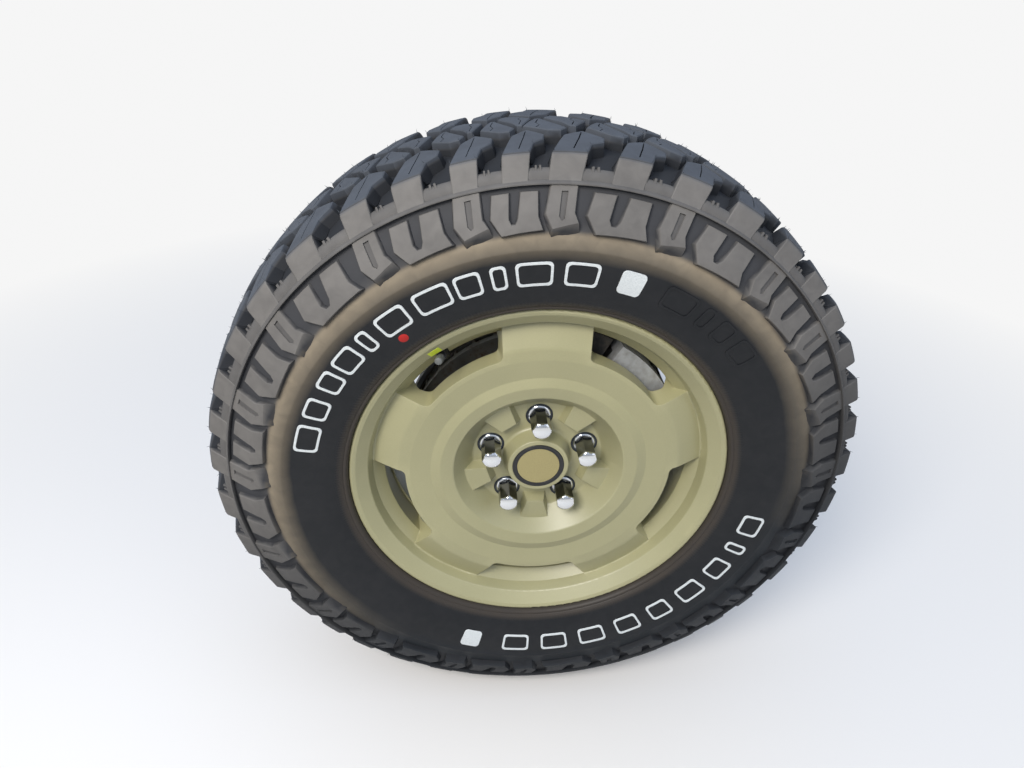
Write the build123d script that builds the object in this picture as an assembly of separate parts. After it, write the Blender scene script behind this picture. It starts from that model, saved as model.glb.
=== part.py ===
from build123d import *
import os
from math import acos, cos, radians, sin, sqrt, tan

# Steered front wheel end of a light 4x4: wheel, tyre, disc brake, hub, knuckle and axle yoke.
# Millimetres. +X is towards the vehicle's rear, +Y inboard, +Z up.
# The origin is the mouth of the yoke's axle tube socket, on the spin axis.
# Depths are measured inboard from the plane of the wheel's outer lip.
# Angles run clockwise from the top, as seen from outside.

# ---- Driving dimensions: wheel ----
bead_seat_radius = 218.3
flange_height = 17.3
flange_width = 11.0
bead_seat_span = 190.5
wheel_offset = 44.45
bolt_count = 5
bolt_circle_radius = 63.5
hub_bore_radius = 35.75
web_thickness = 12.0
lip_width = 7.6
lip_wall_radius = 209.0
lip_wall_depth = 28.0
window_inner_radius = 168.5
window_ledge_width = 13.0
window_outer_depth = 41.0
window_corner_radius = 9.0
spoke_half_width = 51.0
spoke_draft = 0.15
plateau_depth = 17.0
plateau_edge_width = 9.5
disc_thickness = 27.0
ring_radius = 125.0
ring_height = 3.5
ring_foot = 12.0
bowl_radius = 108.5
bowl_floor_radius = 84.0
boss_radius = 39.0
boss_depth = 27.5
barrel_wall = 7.0
drop_centre_radius = 200.0

# ---- Driving dimensions: raised pads between the nuts ----
pad_inner_radius = 66.0
pad_outer_radius = 99.0
pad_inner_half_width = 11.0
pad_outer_half_width = 20.0
pad_rise = 14.0
pad_flare = 4.0

# ---- Driving dimensions: tyre ----
tyre_radius = 409.0
tyre_section_width = 260.6
tread_half_width = 90.0
tread_edge_drop = 7.5
tread_depth = 14.7
groove_floor_half_width = 62.0
shoulder_drop = 31.0
shoulder_half_width = 106.0
bulge_share = 0.59
bulge_reach = 22.0
bulge_fall = 2.0
undertread = 16.0
sidewall_thickness = 12.0
bead_width = 24.0
bead_chamfer = 7.0
lug_crown_gap = 0.6
lug_root = 5.0
far_lug_shift = -1.5
first_lug_angle = -106.8
# degrees from each pair of lugs to the next, clockwise; the pitch varies so that the tread hums less
lug_pair_steps = [
    20.4, 16.0, 17.6, 21.1, 17.2, 15.0, 19.2, 20.0, 15.6, 16.0,
    16.4, 18.8, 20.4, 16.0, 17.6, 20.8, 17.2, 18.6, 16.1, 20.0,
]
lug_outline_pitch = 7.35
# lug outlines at that pitch, with columns: clockwise of the lug's mark, inboard of the tread's edge
shoulder_lug_outline = [(-14, -18), (2.5, 44), (19, 60), (35, 44), (13.5, -18)]
middle_lug_outline = [(-29, 74), (-14, 104), (9, 66), (-6, 56)]

# ---- Driving dimensions: nuts, studs and cap ----
stud_radius = 7.0
stud_tip_depth = 24.0
nut_hex_across_flats = 22.0
nut_length = 39.0
nut_flange_radius = 14.5
nut_flange_height = 3.0
nut_dome_height = 7.0
nut_seat_depth = 6.0
nut_recess_radius = 17.3
nut_recess_depth = 2.0
cap_radius = 33.0
cap_disc_radius = 27.0
cap_ring_proud = 1.0
cap_length = 14.0

# ---- Driving dimensions: hub, bearing and drive shaft ----
hub_flange_radius = 76.0
hub_flange_thickness = 14.0
hub_spindle_radius = 32.0
bearing_radius = 46.0
bearing_flange_radius = 69.0
bearing_flange_thickness = 12.0
bearing_length = 58.0
bearing_bolt_count = 3
bearing_bolt_circle_radius = 58.0
bearing_bolt_across_flats = 16.0
bearing_bolt_head = 7.0
bearing_bolt_radius = 6.0
shaft_radius = 17.0
shaft_fork_radius = 20.0
fork_half_width = 44.0
fork_ear_thickness = 15.0
fork_bore_radius = 15.0

# ---- Driving dimensions: brake ----
brake_disc_thickness = 28.0
brake_disc_hat_radius = 98.0
brake_disc_hat_wall = 7.0
brake_disc_ring_depth = 84.0
vent_count = 36
lining_thickness = 9.0
pad_plate_thickness = 5.0
brake_pad_height = 50.0
brake_pad_inset = 3.0
brake_pad_half_angle = 22.0
caliper_angle = 56.0
caliper_half_angle = 27.0
caliper_barrel_gap = 6.0
caliper_bridge_thickness = 17.0
caliper_inset = 4.0
caliper_finger_thickness = 16.0
caliper_body_depth = 38.0
piston_radius = 23.0
piston_spread = 11.0
piston_inset = 18.0
piston_proud = 3.0
guide_pin_radius = 5.5
guide_pin_inset = 16.0
pad_ear_inset = 20.0
bracket_bar_height = 19.0
bracket_bolt_angle = 26.0
bracket_bolt_inset = 10.0
bracket_bolt_radius = 6.0
hose_port_radius = 5.0
hose_port_length = 12.0
shield_thickness = 1.5
shield_overhang = 7.0

# ---- Driving dimensions: knuckle, ball joints and yoke ----
kingpin_depth = 190.0
kingpin_inclination = 9.0
kingpin_caster = 5.0
mouth_depth = 320.0
ball_height = 88.0
ball_radius = 13.0
ball_housing_radius = 19.0
yoke_ear_radius = 27.0
yoke_ear_height = 30.0
knuckle_boss_radius = 21.0
knuckle_boss_height = 20.0
ball_stud_radius = 8.5
stud_nut_across_flats = 24.0
stud_nut_height = 12.0
axle_tube_radius = 38.1
axle_tube_seat_length = 55.0
yoke_socket_wall = 10.0
yoke_half_width = 40.0
yoke_spine_thickness = 22.0
yoke_arm_half_width = 24.0
knuckle_carrier_radius = 78.0
knuckle_carrier_thickness = 24.0
knuckle_arm_half_width = 26.0
steering_arm_length = 150.0
steering_arm_drop = 42.0
steering_arm_height = 22.0
steering_eye_depth = 166.0
steering_eye_radius = 20.0
tie_rod_hole_radius = 9.0

# ---- Clearances ----
moving_gap = 5.0
seat_gap = 0.2
running_gap = 0.05
stud_gap = 0.1
pad_gap = 0.5

# ---- Places that follow from the sizes ----
lip_y = -mouth_depth
lip_radius = bead_seat_radius + flange_height
rim_width = bead_seat_span + 2 * flange_width
mid_depth = rim_width / 2
plateau_outer_radius = window_inner_radius + plateau_edge_width
window_outer_radius = lip_wall_radius - window_ledge_width
hub_face_depth = mid_depth - wheel_offset
nut_floor_depth = hub_face_depth - web_thickness
bolt_angles = [360 / bolt_count * i for i in range(bolt_count)]
window_angles = [angle + 180 / bolt_count for angle in bolt_angles]
outer_plate_front = brake_disc_ring_depth - pad_gap - lining_thickness - pad_plate_thickness
inner_plate_back = (
    brake_disc_ring_depth + brake_disc_thickness + pad_gap + lining_thickness + pad_plate_thickness
)
finger_front = outer_plate_front - seat_gap - caliper_finger_thickness
body_front = inner_plate_back + piston_proud
body_back = body_front + caliper_body_depth
caliper_outer_radius = drop_centre_radius - barrel_wall - caliper_barrel_gap
bridge_inner_radius = caliper_outer_radius - caliper_bridge_thickness
brake_disc_radius = bridge_inner_radius - moving_gap
shield_radius = brake_disc_radius + shield_overhang
brake_pad_outer_radius = brake_disc_radius - brake_pad_inset
brake_pad_inner_radius = brake_pad_outer_radius - brake_pad_height
caliper_inner_radius = brake_pad_inner_radius + caliper_inset
piston_radial = brake_pad_outer_radius - piston_inset
guide_pin_radial = brake_pad_outer_radius - guide_pin_inset
pad_ear_radial = brake_pad_outer_radius - pad_ear_inset
bracket_bar_outer = brake_pad_inner_radius - 1
bracket_bar_inner = bracket_bar_outer - bracket_bar_height
bracket_bolt_radial = bracket_bar_outer - bracket_bolt_inset
post_inner_angle = caliper_half_angle + 1.5
post_outer_angle = post_inner_angle + 8
bracket_front = outer_plate_front - 6
bracket_back = body_front + 22
guide_pin_angle = (post_inner_angle + post_outer_angle) / 2 + 1


def spun(outline, rounds=None):
    """Turn a closed outline of (radius, depth) corners about the spin axis."""
    corners = [(radius, lip_y + depth) for radius, depth in outline]
    path = FilletPolyline(*corners, radius=rounds or 0, close=True)
    return revolve(make_face(path), Axis.Y)


def rounded_spun(table):
    """Turn a table with columns (radius, depth, corner rounding)."""
    return spun([row[:2] for row in table], [row[2] for row in table])


def ring_between(inner, outer, front, back):
    """Plain ring about the spin axis between two depths."""
    return spun([(inner, front), (outer, front), (outer, back), (inner, back)])


def slab(sketch, front, back):
    """Make solid, between two depths, a sketch drawn as seen from outside."""
    return extrude(Plane.XZ.offset(-(lip_y + back)) * sketch, back - front)


def clocked(shape, angle):
    """Turn a shape clockwise about the spin axis, as seen from outside."""
    return Rot(0, angle, 0) * shape


def at_bolt(shape, angle, radius=bolt_circle_radius):
    """Move a shape from the spin axis out to a bolt circle position."""
    return clocked(Pos(0, 0, radius) * shape, angle)


def sector(inner, outer, half_angle):
    """Sketch of a ring sector centred on the top."""
    reach = radians(half_angle)
    corners = [
        (inner * sin(reach), inner * cos(reach)),
        (outer * sin(reach), outer * cos(reach)),
        (-outer * sin(reach), outer * cos(reach)),
        (-inner * sin(reach), inner * cos(reach)),
    ]
    edges = [
        Line(corners[0], corners[1]),
        ThreePointArc(corners[1], (0, outer), corners[2]),
        Line(corners[2], corners[3]),
        ThreePointArc(corners[3], (0, inner), corners[0]),
    ]
    return make_face(edges)


# ---- Wheel ----
def window_outline(depth):
    """Window section at a depth: parallel spoke edges, inner arc with rounded corners."""
    half_width = spoke_half_width + spoke_draft * (depth - plateau_depth)
    spoke_angle = radians(180 / bolt_count)
    beyond = lip_wall_radius + flange_width

    def edge_point(radius):
        along = sqrt(radius**2 - half_width**2)
        x = along * sin(spoke_angle) - half_width * cos(spoke_angle)
        z = along * cos(spoke_angle) + half_width * sin(spoke_angle)
        return x, z

    inner_x, inner_z = edge_point(window_inner_radius)
    outer_x, outer_z = edge_point(beyond)
    outline = make_face([
        ThreePointArc((-inner_x, inner_z), (0, window_inner_radius), (inner_x, inner_z)),
        Line((inner_x, inner_z), (outer_x, outer_z)),
        ThreePointArc((outer_x, outer_z), (0, beyond), (-outer_x, outer_z)),
        Line((-outer_x, outer_z), (-inner_x, inner_z)),
    ])
    corners = outline.vertices().sort_by(Axis.Y)[:2]
    return fillet(corners, window_corner_radius)


def make_rim():
    """Cast wheel: barrel, domed disc with five windows, bowl, boss and five pads."""
    back_lip = rim_width
    barrel_inner = drop_centre_radius - barrel_wall
    disc_back = plateau_depth + disc_thickness
    rim_table = [
        # radius, depth, corner rounding
        (lip_radius, 0, 3),
        (lip_radius - lip_width, 2.5, 2),
        (lip_wall_radius + 4.5, lip_wall_depth / 2, 4),
        (lip_wall_radius, lip_wall_depth, 2),
        (plateau_outer_radius, plateau_depth, 14),
        (window_inner_radius - 6, plateau_depth, 8),
        (ring_radius + ring_foot, plateau_depth + 3, 3),
        (ring_radius, plateau_depth + 3 - ring_height, 3),
        (bowl_radius, plateau_depth + 2, 3),
        (bowl_floor_radius, nut_floor_depth, 4),
        (boss_radius + 5, nut_floor_depth, 4),
        (boss_radius, boss_depth, 1.5),
        (cap_radius + seat_gap, boss_depth, 0),
        (cap_radius + seat_gap, boss_depth + cap_length, 0),
        (hub_bore_radius, boss_depth + cap_length, 0),
        (hub_bore_radius, hub_face_depth, 0.8),
        (hub_flange_radius + 6, hub_face_depth, 1),
        (hub_flange_radius + 12, hub_face_depth - 6, 3),
        (brake_disc_hat_radius + 14, disc_back, 8),
        (window_outer_radius - 12, disc_back, 8),
        (barrel_inner, window_outer_depth + 20, 10),
        (barrel_inner, mid_depth + 6, 30),
        (lip_wall_radius + 2, rim_width - 45, 20),
        (lip_wall_radius + 2, rim_width - 20, 8),
        (lip_radius - lip_width, back_lip - 2.5, 2),
        (lip_radius, back_lip, 3),
        (lip_radius, back_lip - flange_width + 2, 4),
        (bead_seat_radius + 6, back_lip - flange_width, 5),
        (bead_seat_radius, back_lip - flange_width - 5, 3),
        (bead_seat_radius - 1, back_lip - 36, 4),
        (drop_centre_radius, mid_depth + 20, 12),
        (drop_centre_radius, mid_depth - 46, 12),
        (bead_seat_radius - 1, 36, 4),
        (bead_seat_radius, flange_width + 5, 3),
        (bead_seat_radius + 6, flange_width, 5),
        (lip_radius, flange_width - 2, 4),
    ]
    rim = rounded_spun(rim_table)

    pocket_front = plateau_depth - 9
    pocket_back = disc_back + 30
    sections = [
        Plane.XZ.offset(-(lip_y + depth)) * window_outline(depth)
        for depth in (pocket_front, pocket_back)
    ]
    pocket = loft(sections, ruled=True)
    envelope = spun([
        (window_inner_radius - 5, pocket_front),
        (lip_wall_radius + 4.5, pocket_front),
        (lip_wall_radius + 4.5, lip_wall_depth / 2),
        (lip_wall_radius, lip_wall_depth),
        (window_outer_radius, window_outer_depth),
        (window_outer_radius - 1, pocket_back),
        (window_inner_radius - 5, pocket_back),
    ])
    window = pocket & envelope
    rim -= [clocked(window, angle) for angle in window_angles]

    pads = [clocked(make_pad(), angle) for angle in window_angles]
    rim += pads

    recess = Circle(nut_recess_radius)
    seat_top = nut_floor_depth + nut_recess_depth
    bolt_cut = slab(recess, seat_top - 30, seat_top)
    bolt_cut += nut_seat(seat_top - 1, seat_gap)
    bolt_cut += slab(Circle(stud_radius + 1), seat_top, hub_face_depth + 5)
    rim -= [at_bolt(bolt_cut, angle) for angle in bolt_angles]
    rim -= clocked(valve_hole(), valve_angle)
    return rim


def nut_seat(front, gap):
    """Cone that centres a wheel nut, drawn on the spin axis."""
    length = nut_seat_depth + seat_gap
    wide = nut_flange_radius - 3 + gap
    narrow = stud_radius + 1
    cone = Cone(wide, narrow, length, align=(Align.CENTER, Align.CENTER, Align.MIN))
    return Pos(0, lip_y + front + 1, 0) * Rot(-90, 0, 0) * cone


def make_pad():
    """Raised trapezoid pad on the bowl floor, at the top position."""
    top_depth = nut_floor_depth - pad_rise

    def trapezoid(flare, toe):
        corners = [
            (pad_inner_half_width + flare, pad_inner_radius - toe),
            (pad_outer_half_width + flare, pad_outer_radius + toe),
            (-pad_outer_half_width - flare, pad_outer_radius + toe),
            (-pad_inner_half_width - flare, pad_inner_radius - toe),
        ]
        return make_face(Polyline(*corners, close=True))

    base_depth = nut_floor_depth + 3
    sections = [
        Plane.XZ.offset(-(lip_y + top_depth)) * trapezoid(0, 0),
        Plane.XZ.offset(-(lip_y + base_depth)) * trapezoid(pad_flare, 7),
    ]
    return loft(sections, ruled=True)


valve_angle = window_angles[-1]
valve_radius = 202.0
valve_hole_radius = 5.7
valve_lean = 15.0
valve_length = 30.0
valve_cap_length = 17.0
valve_base_depth = 34.0
valve_collar_radius = 8.0


def valve_frame():
    """Place on the ledge from which the valve leans out towards the spin axis."""
    return Pos(0, lip_y + valve_base_depth, valve_radius) * Rot(90 - valve_lean, 0, 0)


def valve_hole():
    """Hole and spot face for the valve, at the top position."""
    low = (Align.CENTER, Align.CENTER, Align.MIN)
    spot_face = Pos(0, 0, 3 - seat_gap) * Cylinder(valve_collar_radius + 1, 20, align=low)
    return valve_frame() * (Cylinder(valve_hole_radius, 40) + spot_face)


def make_valve_stem():
    """Rubber valve body with its base on the ledge, at the top position."""
    low = (Align.CENTER, Align.CENTER, Align.MIN)
    neck = Pos(0, 0, -10) * Cylinder(valve_hole_radius - seat_gap, 14, align=low)
    collar = Pos(0, 0, 3) * Cone(valve_collar_radius, 5.5, 9, align=low)
    stem = Pos(0, 0, 11) * Cylinder(3.6, valve_length - 11, align=low)
    return valve_frame() * (neck + collar + stem)


def make_valve_cap():
    """Hollow cap over the valve's end, at the top position."""
    low = (Align.CENTER, Align.CENTER, Align.MIN)
    base = valve_length - valve_cap_length + 5
    cap = Pos(0, 0, base) * Cylinder(4.8, valve_cap_length, align=low)
    bore = Pos(0, 0, base - 1) * Cylinder(3.6 + seat_gap, valve_cap_length - 3, align=low)
    return valve_frame() * (cap - bore)


# ---- Tyre ----
def across(half_width):
    """Place along the spin axis of a distance outboard of the tyre's middle."""
    return lip_y + mid_depth - half_width


def carcass_section():
    """Section of the tyre without its lugs, with columns (radius, distance from the middle)."""
    half = tyre_section_width / 2
    groove_radius = tyre_radius - tread_depth
    shoulder_radius = tyre_radius - shoulder_drop
    widest_radius = lip_radius + bulge_share * (shoulder_radius - lip_radius)
    flat_gap = 1 / cos(radians(max(lug_pair_steps) / 4))
    seat = (bead_seat_radius + seat_gap) * flat_gap
    flange = (lip_radius + seat_gap) * flat_gap
    bead_face = bead_seat_span / 2 - seat_gap
    outboard_half = [
        (groove_radius, groove_floor_half_width),
        (shoulder_radius, shoulder_half_width),
        (widest_radius + bulge_reach, half - bulge_fall),
        (widest_radius - bulge_reach, half),
        (flange, mid_depth + seat_gap),
        (flange, bead_face),
        (seat, bead_face - bead_chamfer),
        (seat, bead_face - bead_width),
        (widest_radius - bulge_reach, half - sidewall_thickness),
        (groove_radius - undertread, shoulder_half_width - undertread - 2),
    ]
    return outboard_half + [(radius, -place) for radius, place in reversed(outboard_half)]


def carcass_sector(start, span):
    """One flat-sided sector of the carcass, from a start angle round to the next lug's."""
    flat_share = cos(radians(span / 2))
    section = [(across(place), radius * flat_share) for radius, place in carcass_section()]
    reach = tyre_radius * tan(radians(span / 2))
    bar = extrude(Plane.YZ.offset(-reach) * make_face(Polyline(*section, close=True)), 2 * reach)
    edge_x, edge_z = 2 * tyre_radius * sin(radians(span / 2)), 2 * tyre_radius * flat_share
    wedge = make_face(Polyline((0, 0), (edge_x, edge_z), (-edge_x, edge_z), close=True))
    whole_width = slab(wedge, mid_depth - tyre_section_width, mid_depth + tyre_section_width)
    return clocked(bar & whole_width, start + span / 2)


def lug_body(outline, stretch):
    """Upright block on a lug's outline, from under the groove floor to above the tread."""
    corners = [(x * stretch, across(tread_half_width - inboard)) for x, inboard in outline]
    foot = tyre_radius - shoulder_drop - lug_root
    return extrude(Plane.XY.offset(foot) * make_face(Polyline(*corners, close=True)), tyre_radius - foot)


def lug_envelope(reach):
    """Side view of the outboard half of the tread, over which the lugs are trimmed."""
    crown = tyre_radius - lug_crown_gap
    groove_radius = tyre_radius - tread_depth
    shoulder_radius = tyre_radius - shoulder_drop
    corners = [
        (crown, -groove_floor_half_width),
        (crown, tread_half_width - 60),
        (tyre_radius - tread_edge_drop, tread_half_width),
        (shoulder_radius + 1, shoulder_half_width - lug_crown_gap),
        (shoulder_radius - lug_root, shoulder_half_width - lug_crown_gap),
        (shoulder_radius + 3, tread_half_width - 4),
        (groove_radius - lug_root, groove_floor_half_width - 32),
        (groove_radius - lug_root, -groove_floor_half_width),
    ]
    profile = make_face(Polyline(*[(across(place), radius) for radius, place in corners], close=True))
    return extrude(Plane.YZ.offset(-reach) * profile, 2 * reach)


def make_tyre():
    """Tyre with its cavity and its four rows of lugs, each lug on its own flat of the carcass."""
    turn_about = Pos(far_lug_shift, 2 * across(0), 0) * Rot(0, 0, 180)
    envelope = lug_envelope(2 * max(x for x, _ in shoulder_lug_outline))
    pieces = []
    angle = first_lug_angle
    for step in lug_pair_steps:
        pitch = step / 2
        outboard = [
            lug_body(outline, pitch / lug_outline_pitch) & envelope
            for outline in (shoulder_lug_outline, middle_lug_outline)
        ]
        both_sides = outboard + [turn_about * lug for lug in outboard]
        for start in (angle, angle + pitch):
            pieces.append(carcass_sector(start, pitch))
            pieces += [clocked(lug, start) for lug in both_sides]
        angle += step
    return pieces[0].fuse(*pieces[1:])


# ---- Wheel fastenings and cap ----
def hexagon(across_flats):
    """Regular hexagon sketch from its size across the flats."""
    return RegularPolygon(across_flats / 2, 6, major_radius=False)


def make_nut():
    """Domed wheel nut with a round flange and a cone seat, on the spin axis."""
    tip_depth = nut_floor_depth - nut_length
    flange_depth = nut_floor_depth - nut_flange_height
    hex_depth = tip_depth + nut_dome_height
    nut = slab(hexagon(nut_hex_across_flats), hex_depth, flange_depth)
    nut += slab(Circle(nut_flange_radius), flange_depth, nut_floor_depth)
    cone_end = nut_floor_depth + nut_recess_depth + nut_seat_depth - 1
    nut += spun([
        (0, nut_floor_depth),
        (nut_flange_radius - 3, nut_floor_depth),
        (nut_flange_radius - 3, nut_floor_depth + nut_recess_depth),
        (stud_radius + 1, cone_end),
        (0, cone_end),
    ])
    nut += rounded_spun([
        (0, tip_depth, 0),
        (nut_hex_across_flats / 2 - 4, tip_depth, 3),
        (nut_hex_across_flats / 2, hex_depth, 2),
        (nut_hex_across_flats / 2, hex_depth + 2, 0),
        (0, hex_depth + 2, 0),
    ])
    nut -= slab(Circle(stud_radius + stud_gap), stud_tip_depth - seat_gap, cone_end + 1)
    return nut


def make_stud():
    """Wheel stud pressed into the hub flange from behind, on the spin axis."""
    head_depth = hub_flange_front + hub_flange_thickness
    stud = slab(Circle(stud_radius), stud_tip_depth, head_depth)
    head = slab(Circle(stud_radius + 3.5), head_depth, head_depth + 3)
    return stud + head


def make_cap_ring():
    """Push-in centre cap: outer ring with a sleeve that clips in the boss."""
    front = boss_depth - cap_ring_proud
    sleeve_inner = cap_disc_radius - 1
    return rounded_spun([
        (cap_disc_radius + seat_gap, front, 0.5),
        (cap_radius, front, 0.8),
        (cap_radius, boss_depth + cap_length - seat_gap, 0),
        (sleeve_inner, boss_depth + cap_length - seat_gap, 0),
        (sleeve_inner, front + 4, 0),
        (cap_disc_radius + seat_gap, front + 4, 0),
    ])


def make_cap_disc():
    """Plain disc set in the centre cap's ring."""
    front = boss_depth - cap_ring_proud
    return slab(Circle(cap_disc_radius), front + 0.8, front + 4)


# ---- Hub, disc and drive shaft ----
hub_flange_front = hub_face_depth + brake_disc_hat_wall
hub_flange_back = hub_flange_front + hub_flange_thickness
bearing_front = hub_flange_back + moving_gap - 1
bearing_back = bearing_front + bearing_length
bearing_flange_front = bearing_front + 22


def make_hub():
    """Hub with its wheel pilot, stud flange and hollow spindle."""
    pilot_front = boss_depth + cap_length + 4
    hub = rounded_spun([
        (shaft_radius + seat_gap, pilot_front, 0),
        (hub_bore_radius - seat_gap, pilot_front, 1.5),
        (hub_bore_radius - seat_gap, hub_flange_front, 0),
        (hub_flange_radius, hub_flange_front, 1),
        (hub_flange_radius, hub_flange_back, 2),
        (hub_spindle_radius + 8, hub_flange_back, 2),
        (hub_spindle_radius + 8, bearing_front - 1, 0),
        (hub_spindle_radius, bearing_front - 1, 0),
        (hub_spindle_radius, bearing_back - 2, 1),
        (shaft_radius + seat_gap, bearing_back - 2, 0),
    ])
    hole = slab(Circle(stud_radius + stud_gap), hub_flange_front - 1, hub_flange_back + 1)
    return hub - [at_bolt(hole, angle) for angle in bolt_angles]


def make_brake_disc():
    """Vented brake disc: two rings joined by radial vanes, and the hat that carries them."""
    front = brake_disc_ring_depth
    back = front + brake_disc_thickness
    cheek = 9.0
    inner = brake_disc_hat_radius
    hat_inner = inner - brake_disc_hat_wall
    disc = spun([
        (hub_bore_radius + seat_gap, hub_face_depth + seat_gap),
        (inner, hub_face_depth + seat_gap),
        (inner, front),
        (brake_disc_radius, front),
        (brake_disc_radius, front + cheek),
        (inner + 6, front + cheek),
        (inner + 6, back - cheek),
        (brake_disc_radius, back - cheek),
        (brake_disc_radius, back),
        (hat_inner, back),
        (hat_inner, hub_flange_front - seat_gap),
        (hub_bore_radius + seat_gap, hub_flange_front - seat_gap),
    ])
    vane_length = brake_disc_radius - inner - 3
    vane = slab(
        Pos(0, inner + 3 + vane_length / 2) * Rectangle(4, vane_length),
        front + cheek - 0.5,
        back - cheek + 0.5,
    )
    disc += [clocked(vane, 360 / vent_count * i) for i in range(vent_count)]
    hole = slab(Circle(stud_radius + 1), hub_face_depth - 1, hub_flange_front + 1)
    return disc - [at_bolt(hole, angle) for angle in bolt_angles]


def make_drive_shaft():
    """Outer drive shaft: splined end through the hub, and the fork of its joint."""
    stem_front = boss_depth + cap_length + 6
    fork_base = kingpin_depth - fork_half_width + fork_ear_thickness
    stem = ring_between(0, shaft_radius, stem_front, bearing_back + 2)
    neck = ring_between(0, shaft_fork_radius, bearing_back + 1, fork_base)
    shaft = stem + neck
    width = 2 * shaft_fork_radius
    bridge = slab(Rectangle(width, 2 * fork_half_width), fork_base - 12, fork_base)
    shaft += bridge & ring_between(0, fork_half_width, fork_base - 13, fork_base + 1)
    ear_centre = fork_half_width - fork_ear_thickness / 2
    for side in (-1, 1):
        ear = Pos(0, lip_y + kingpin_depth, side * ear_centre)
        ear *= Cylinder(shaft_fork_radius, fork_ear_thickness)
        arm = Pos(0, lip_y + (fork_base + kingpin_depth) / 2 - 3, side * ear_centre)
        arm *= Box(width, kingpin_depth - fork_base + 6, fork_ear_thickness)
        shaft += ear + arm
    cross_bore = Pos(0, lip_y + kingpin_depth, 0)
    cross_bore *= Cylinder(fork_bore_radius, 3 * fork_half_width)
    return shaft - cross_bore


def bearing_bolt_places():
    """Angles of the bolts that hold the bearing to the knuckle."""
    return [360 / bearing_bolt_count * i + 30 for i in range(bearing_bolt_count)]


def make_bearing():
    """Wheel bearing housing with its bolting flange; the hub's spindle runs in it."""
    bore = hub_spindle_radius + running_gap
    flange_back = bearing_flange_front + bearing_flange_thickness
    housing = rounded_spun([
        (bore, bearing_front, 0),
        (bearing_radius, bearing_front, 2),
        (bearing_radius, bearing_flange_front, 0),
        (bearing_flange_radius, bearing_flange_front, 1),
        (bearing_flange_radius, flange_back, 1),
        (bearing_radius, flange_back, 0),
        (bearing_radius, bearing_back, 2),
        (bore, bearing_back, 0),
    ])
    hole = slab(
        Circle(bearing_bolt_radius + stud_gap),
        bearing_flange_front - 1,
        flange_back + 1,
    )
    holes = [at_bolt(hole, a, bearing_bolt_circle_radius) for a in bearing_bolt_places()]
    return housing - holes


def make_bearing_bolts():
    """Bolts through the bearing's flange into the knuckle."""
    head_front = bearing_flange_front - bearing_bolt_head
    bolt = slab(hexagon(bearing_bolt_across_flats), head_front, bearing_flange_front)
    bolt += slab(Circle(bearing_bolt_radius), bearing_flange_front, carrier_back)
    bolts = [at_bolt(bolt, a, bearing_bolt_circle_radius) for a in bearing_bolt_places()]
    return Compound(bolts)


# ---- Kingpin frame ----
kingpin_axis = Vector(tan(radians(kingpin_caster)), tan(radians(kingpin_inclination)), 1)
kingpin_plane = Plane(
    origin=(0, lip_y + kingpin_depth, 0),
    x_dir=Vector(1, 0, -tan(radians(kingpin_caster))),
    z_dir=kingpin_axis,
)
ear_top = ball_height + yoke_ear_height / 2
ear_bottom = ball_height - yoke_ear_height / 2
boss_start = ear_top + moving_gap + 2
boss_end = boss_start + knuckle_boss_height
stud_end = boss_end + stud_nut_height + 3


def on_kingpin(shape):
    """Move a shape drawn about Z onto the kingpin axis."""
    return kingpin_plane.location * shape


def upright(radius, start, end, side):
    """Cylinder on the kingpin axis between two heights; side is 1 above, -1 below."""
    middle = side * (start + end) / 2
    return on_kingpin(Pos(0, 0, middle) * Cylinder(radius, abs(end - start)))


def kingpin_turned(outline, side):
    """Turn (radius, height) corners about the kingpin axis, above or below the hub."""
    face = make_face(Polyline(*[(r, side * h) for r, h in outline], close=True))
    return on_kingpin(revolve(Rot(90, 0, 0) * face, Axis.Z))


def make_ball_housing(side):
    """Ball joint housing pressed in the yoke's ear, open where its stud comes out."""
    radius = ball_housing_radius
    body = upright(radius, ear_bottom - 2, ear_top + 2, side)
    body += upright(radius + 3, ear_bottom - 6, ear_bottom - seat_gap, side)
    cavity = on_kingpin(Pos(0, 0, side * ball_height) * Sphere(ball_radius + running_gap))
    mouth = kingpin_turned([
        (0, ball_height),
        (ball_radius - 4, ball_height),
        (ball_radius + 1, ear_top + 3),
        (0, ear_top + 3),
    ], side)
    return body - cavity - mouth


def make_ball_stud(side):
    """Ball and tapered stud, held by the knuckle."""
    ball = on_kingpin(Pos(0, 0, side * ball_height) * Sphere(ball_radius))
    shank = kingpin_turned([
        (0, ball_height),
        (ball_stud_radius - 1, ball_height),
        (ball_stud_radius - 1, boss_start - 2),
        (ball_stud_radius, boss_start),
        (ball_stud_radius - 2, boss_end + 1),
        (ball_stud_radius - 2, stud_end),
        (0, stud_end),
    ], side)
    return ball + shank


def make_stud_nut(side):
    """Slotted nut on the ball stud's end."""
    start = boss_end + seat_gap
    end = start + stud_nut_height
    nut = on_kingpin(
        Pos(0, 0, side * (start + end) / 2)
        * extrude(hexagon(stud_nut_across_flats), stud_nut_height / 2, both=True)
    )
    slot = on_kingpin(
        Pos(0, 0, side * (end - 1.5)) * Box(2 * stud_nut_across_flats, 3.5, 4)
    )
    return nut - upright(ball_stud_radius - 2 + stud_gap, start - 1, end + 1, side) - slot


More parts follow.
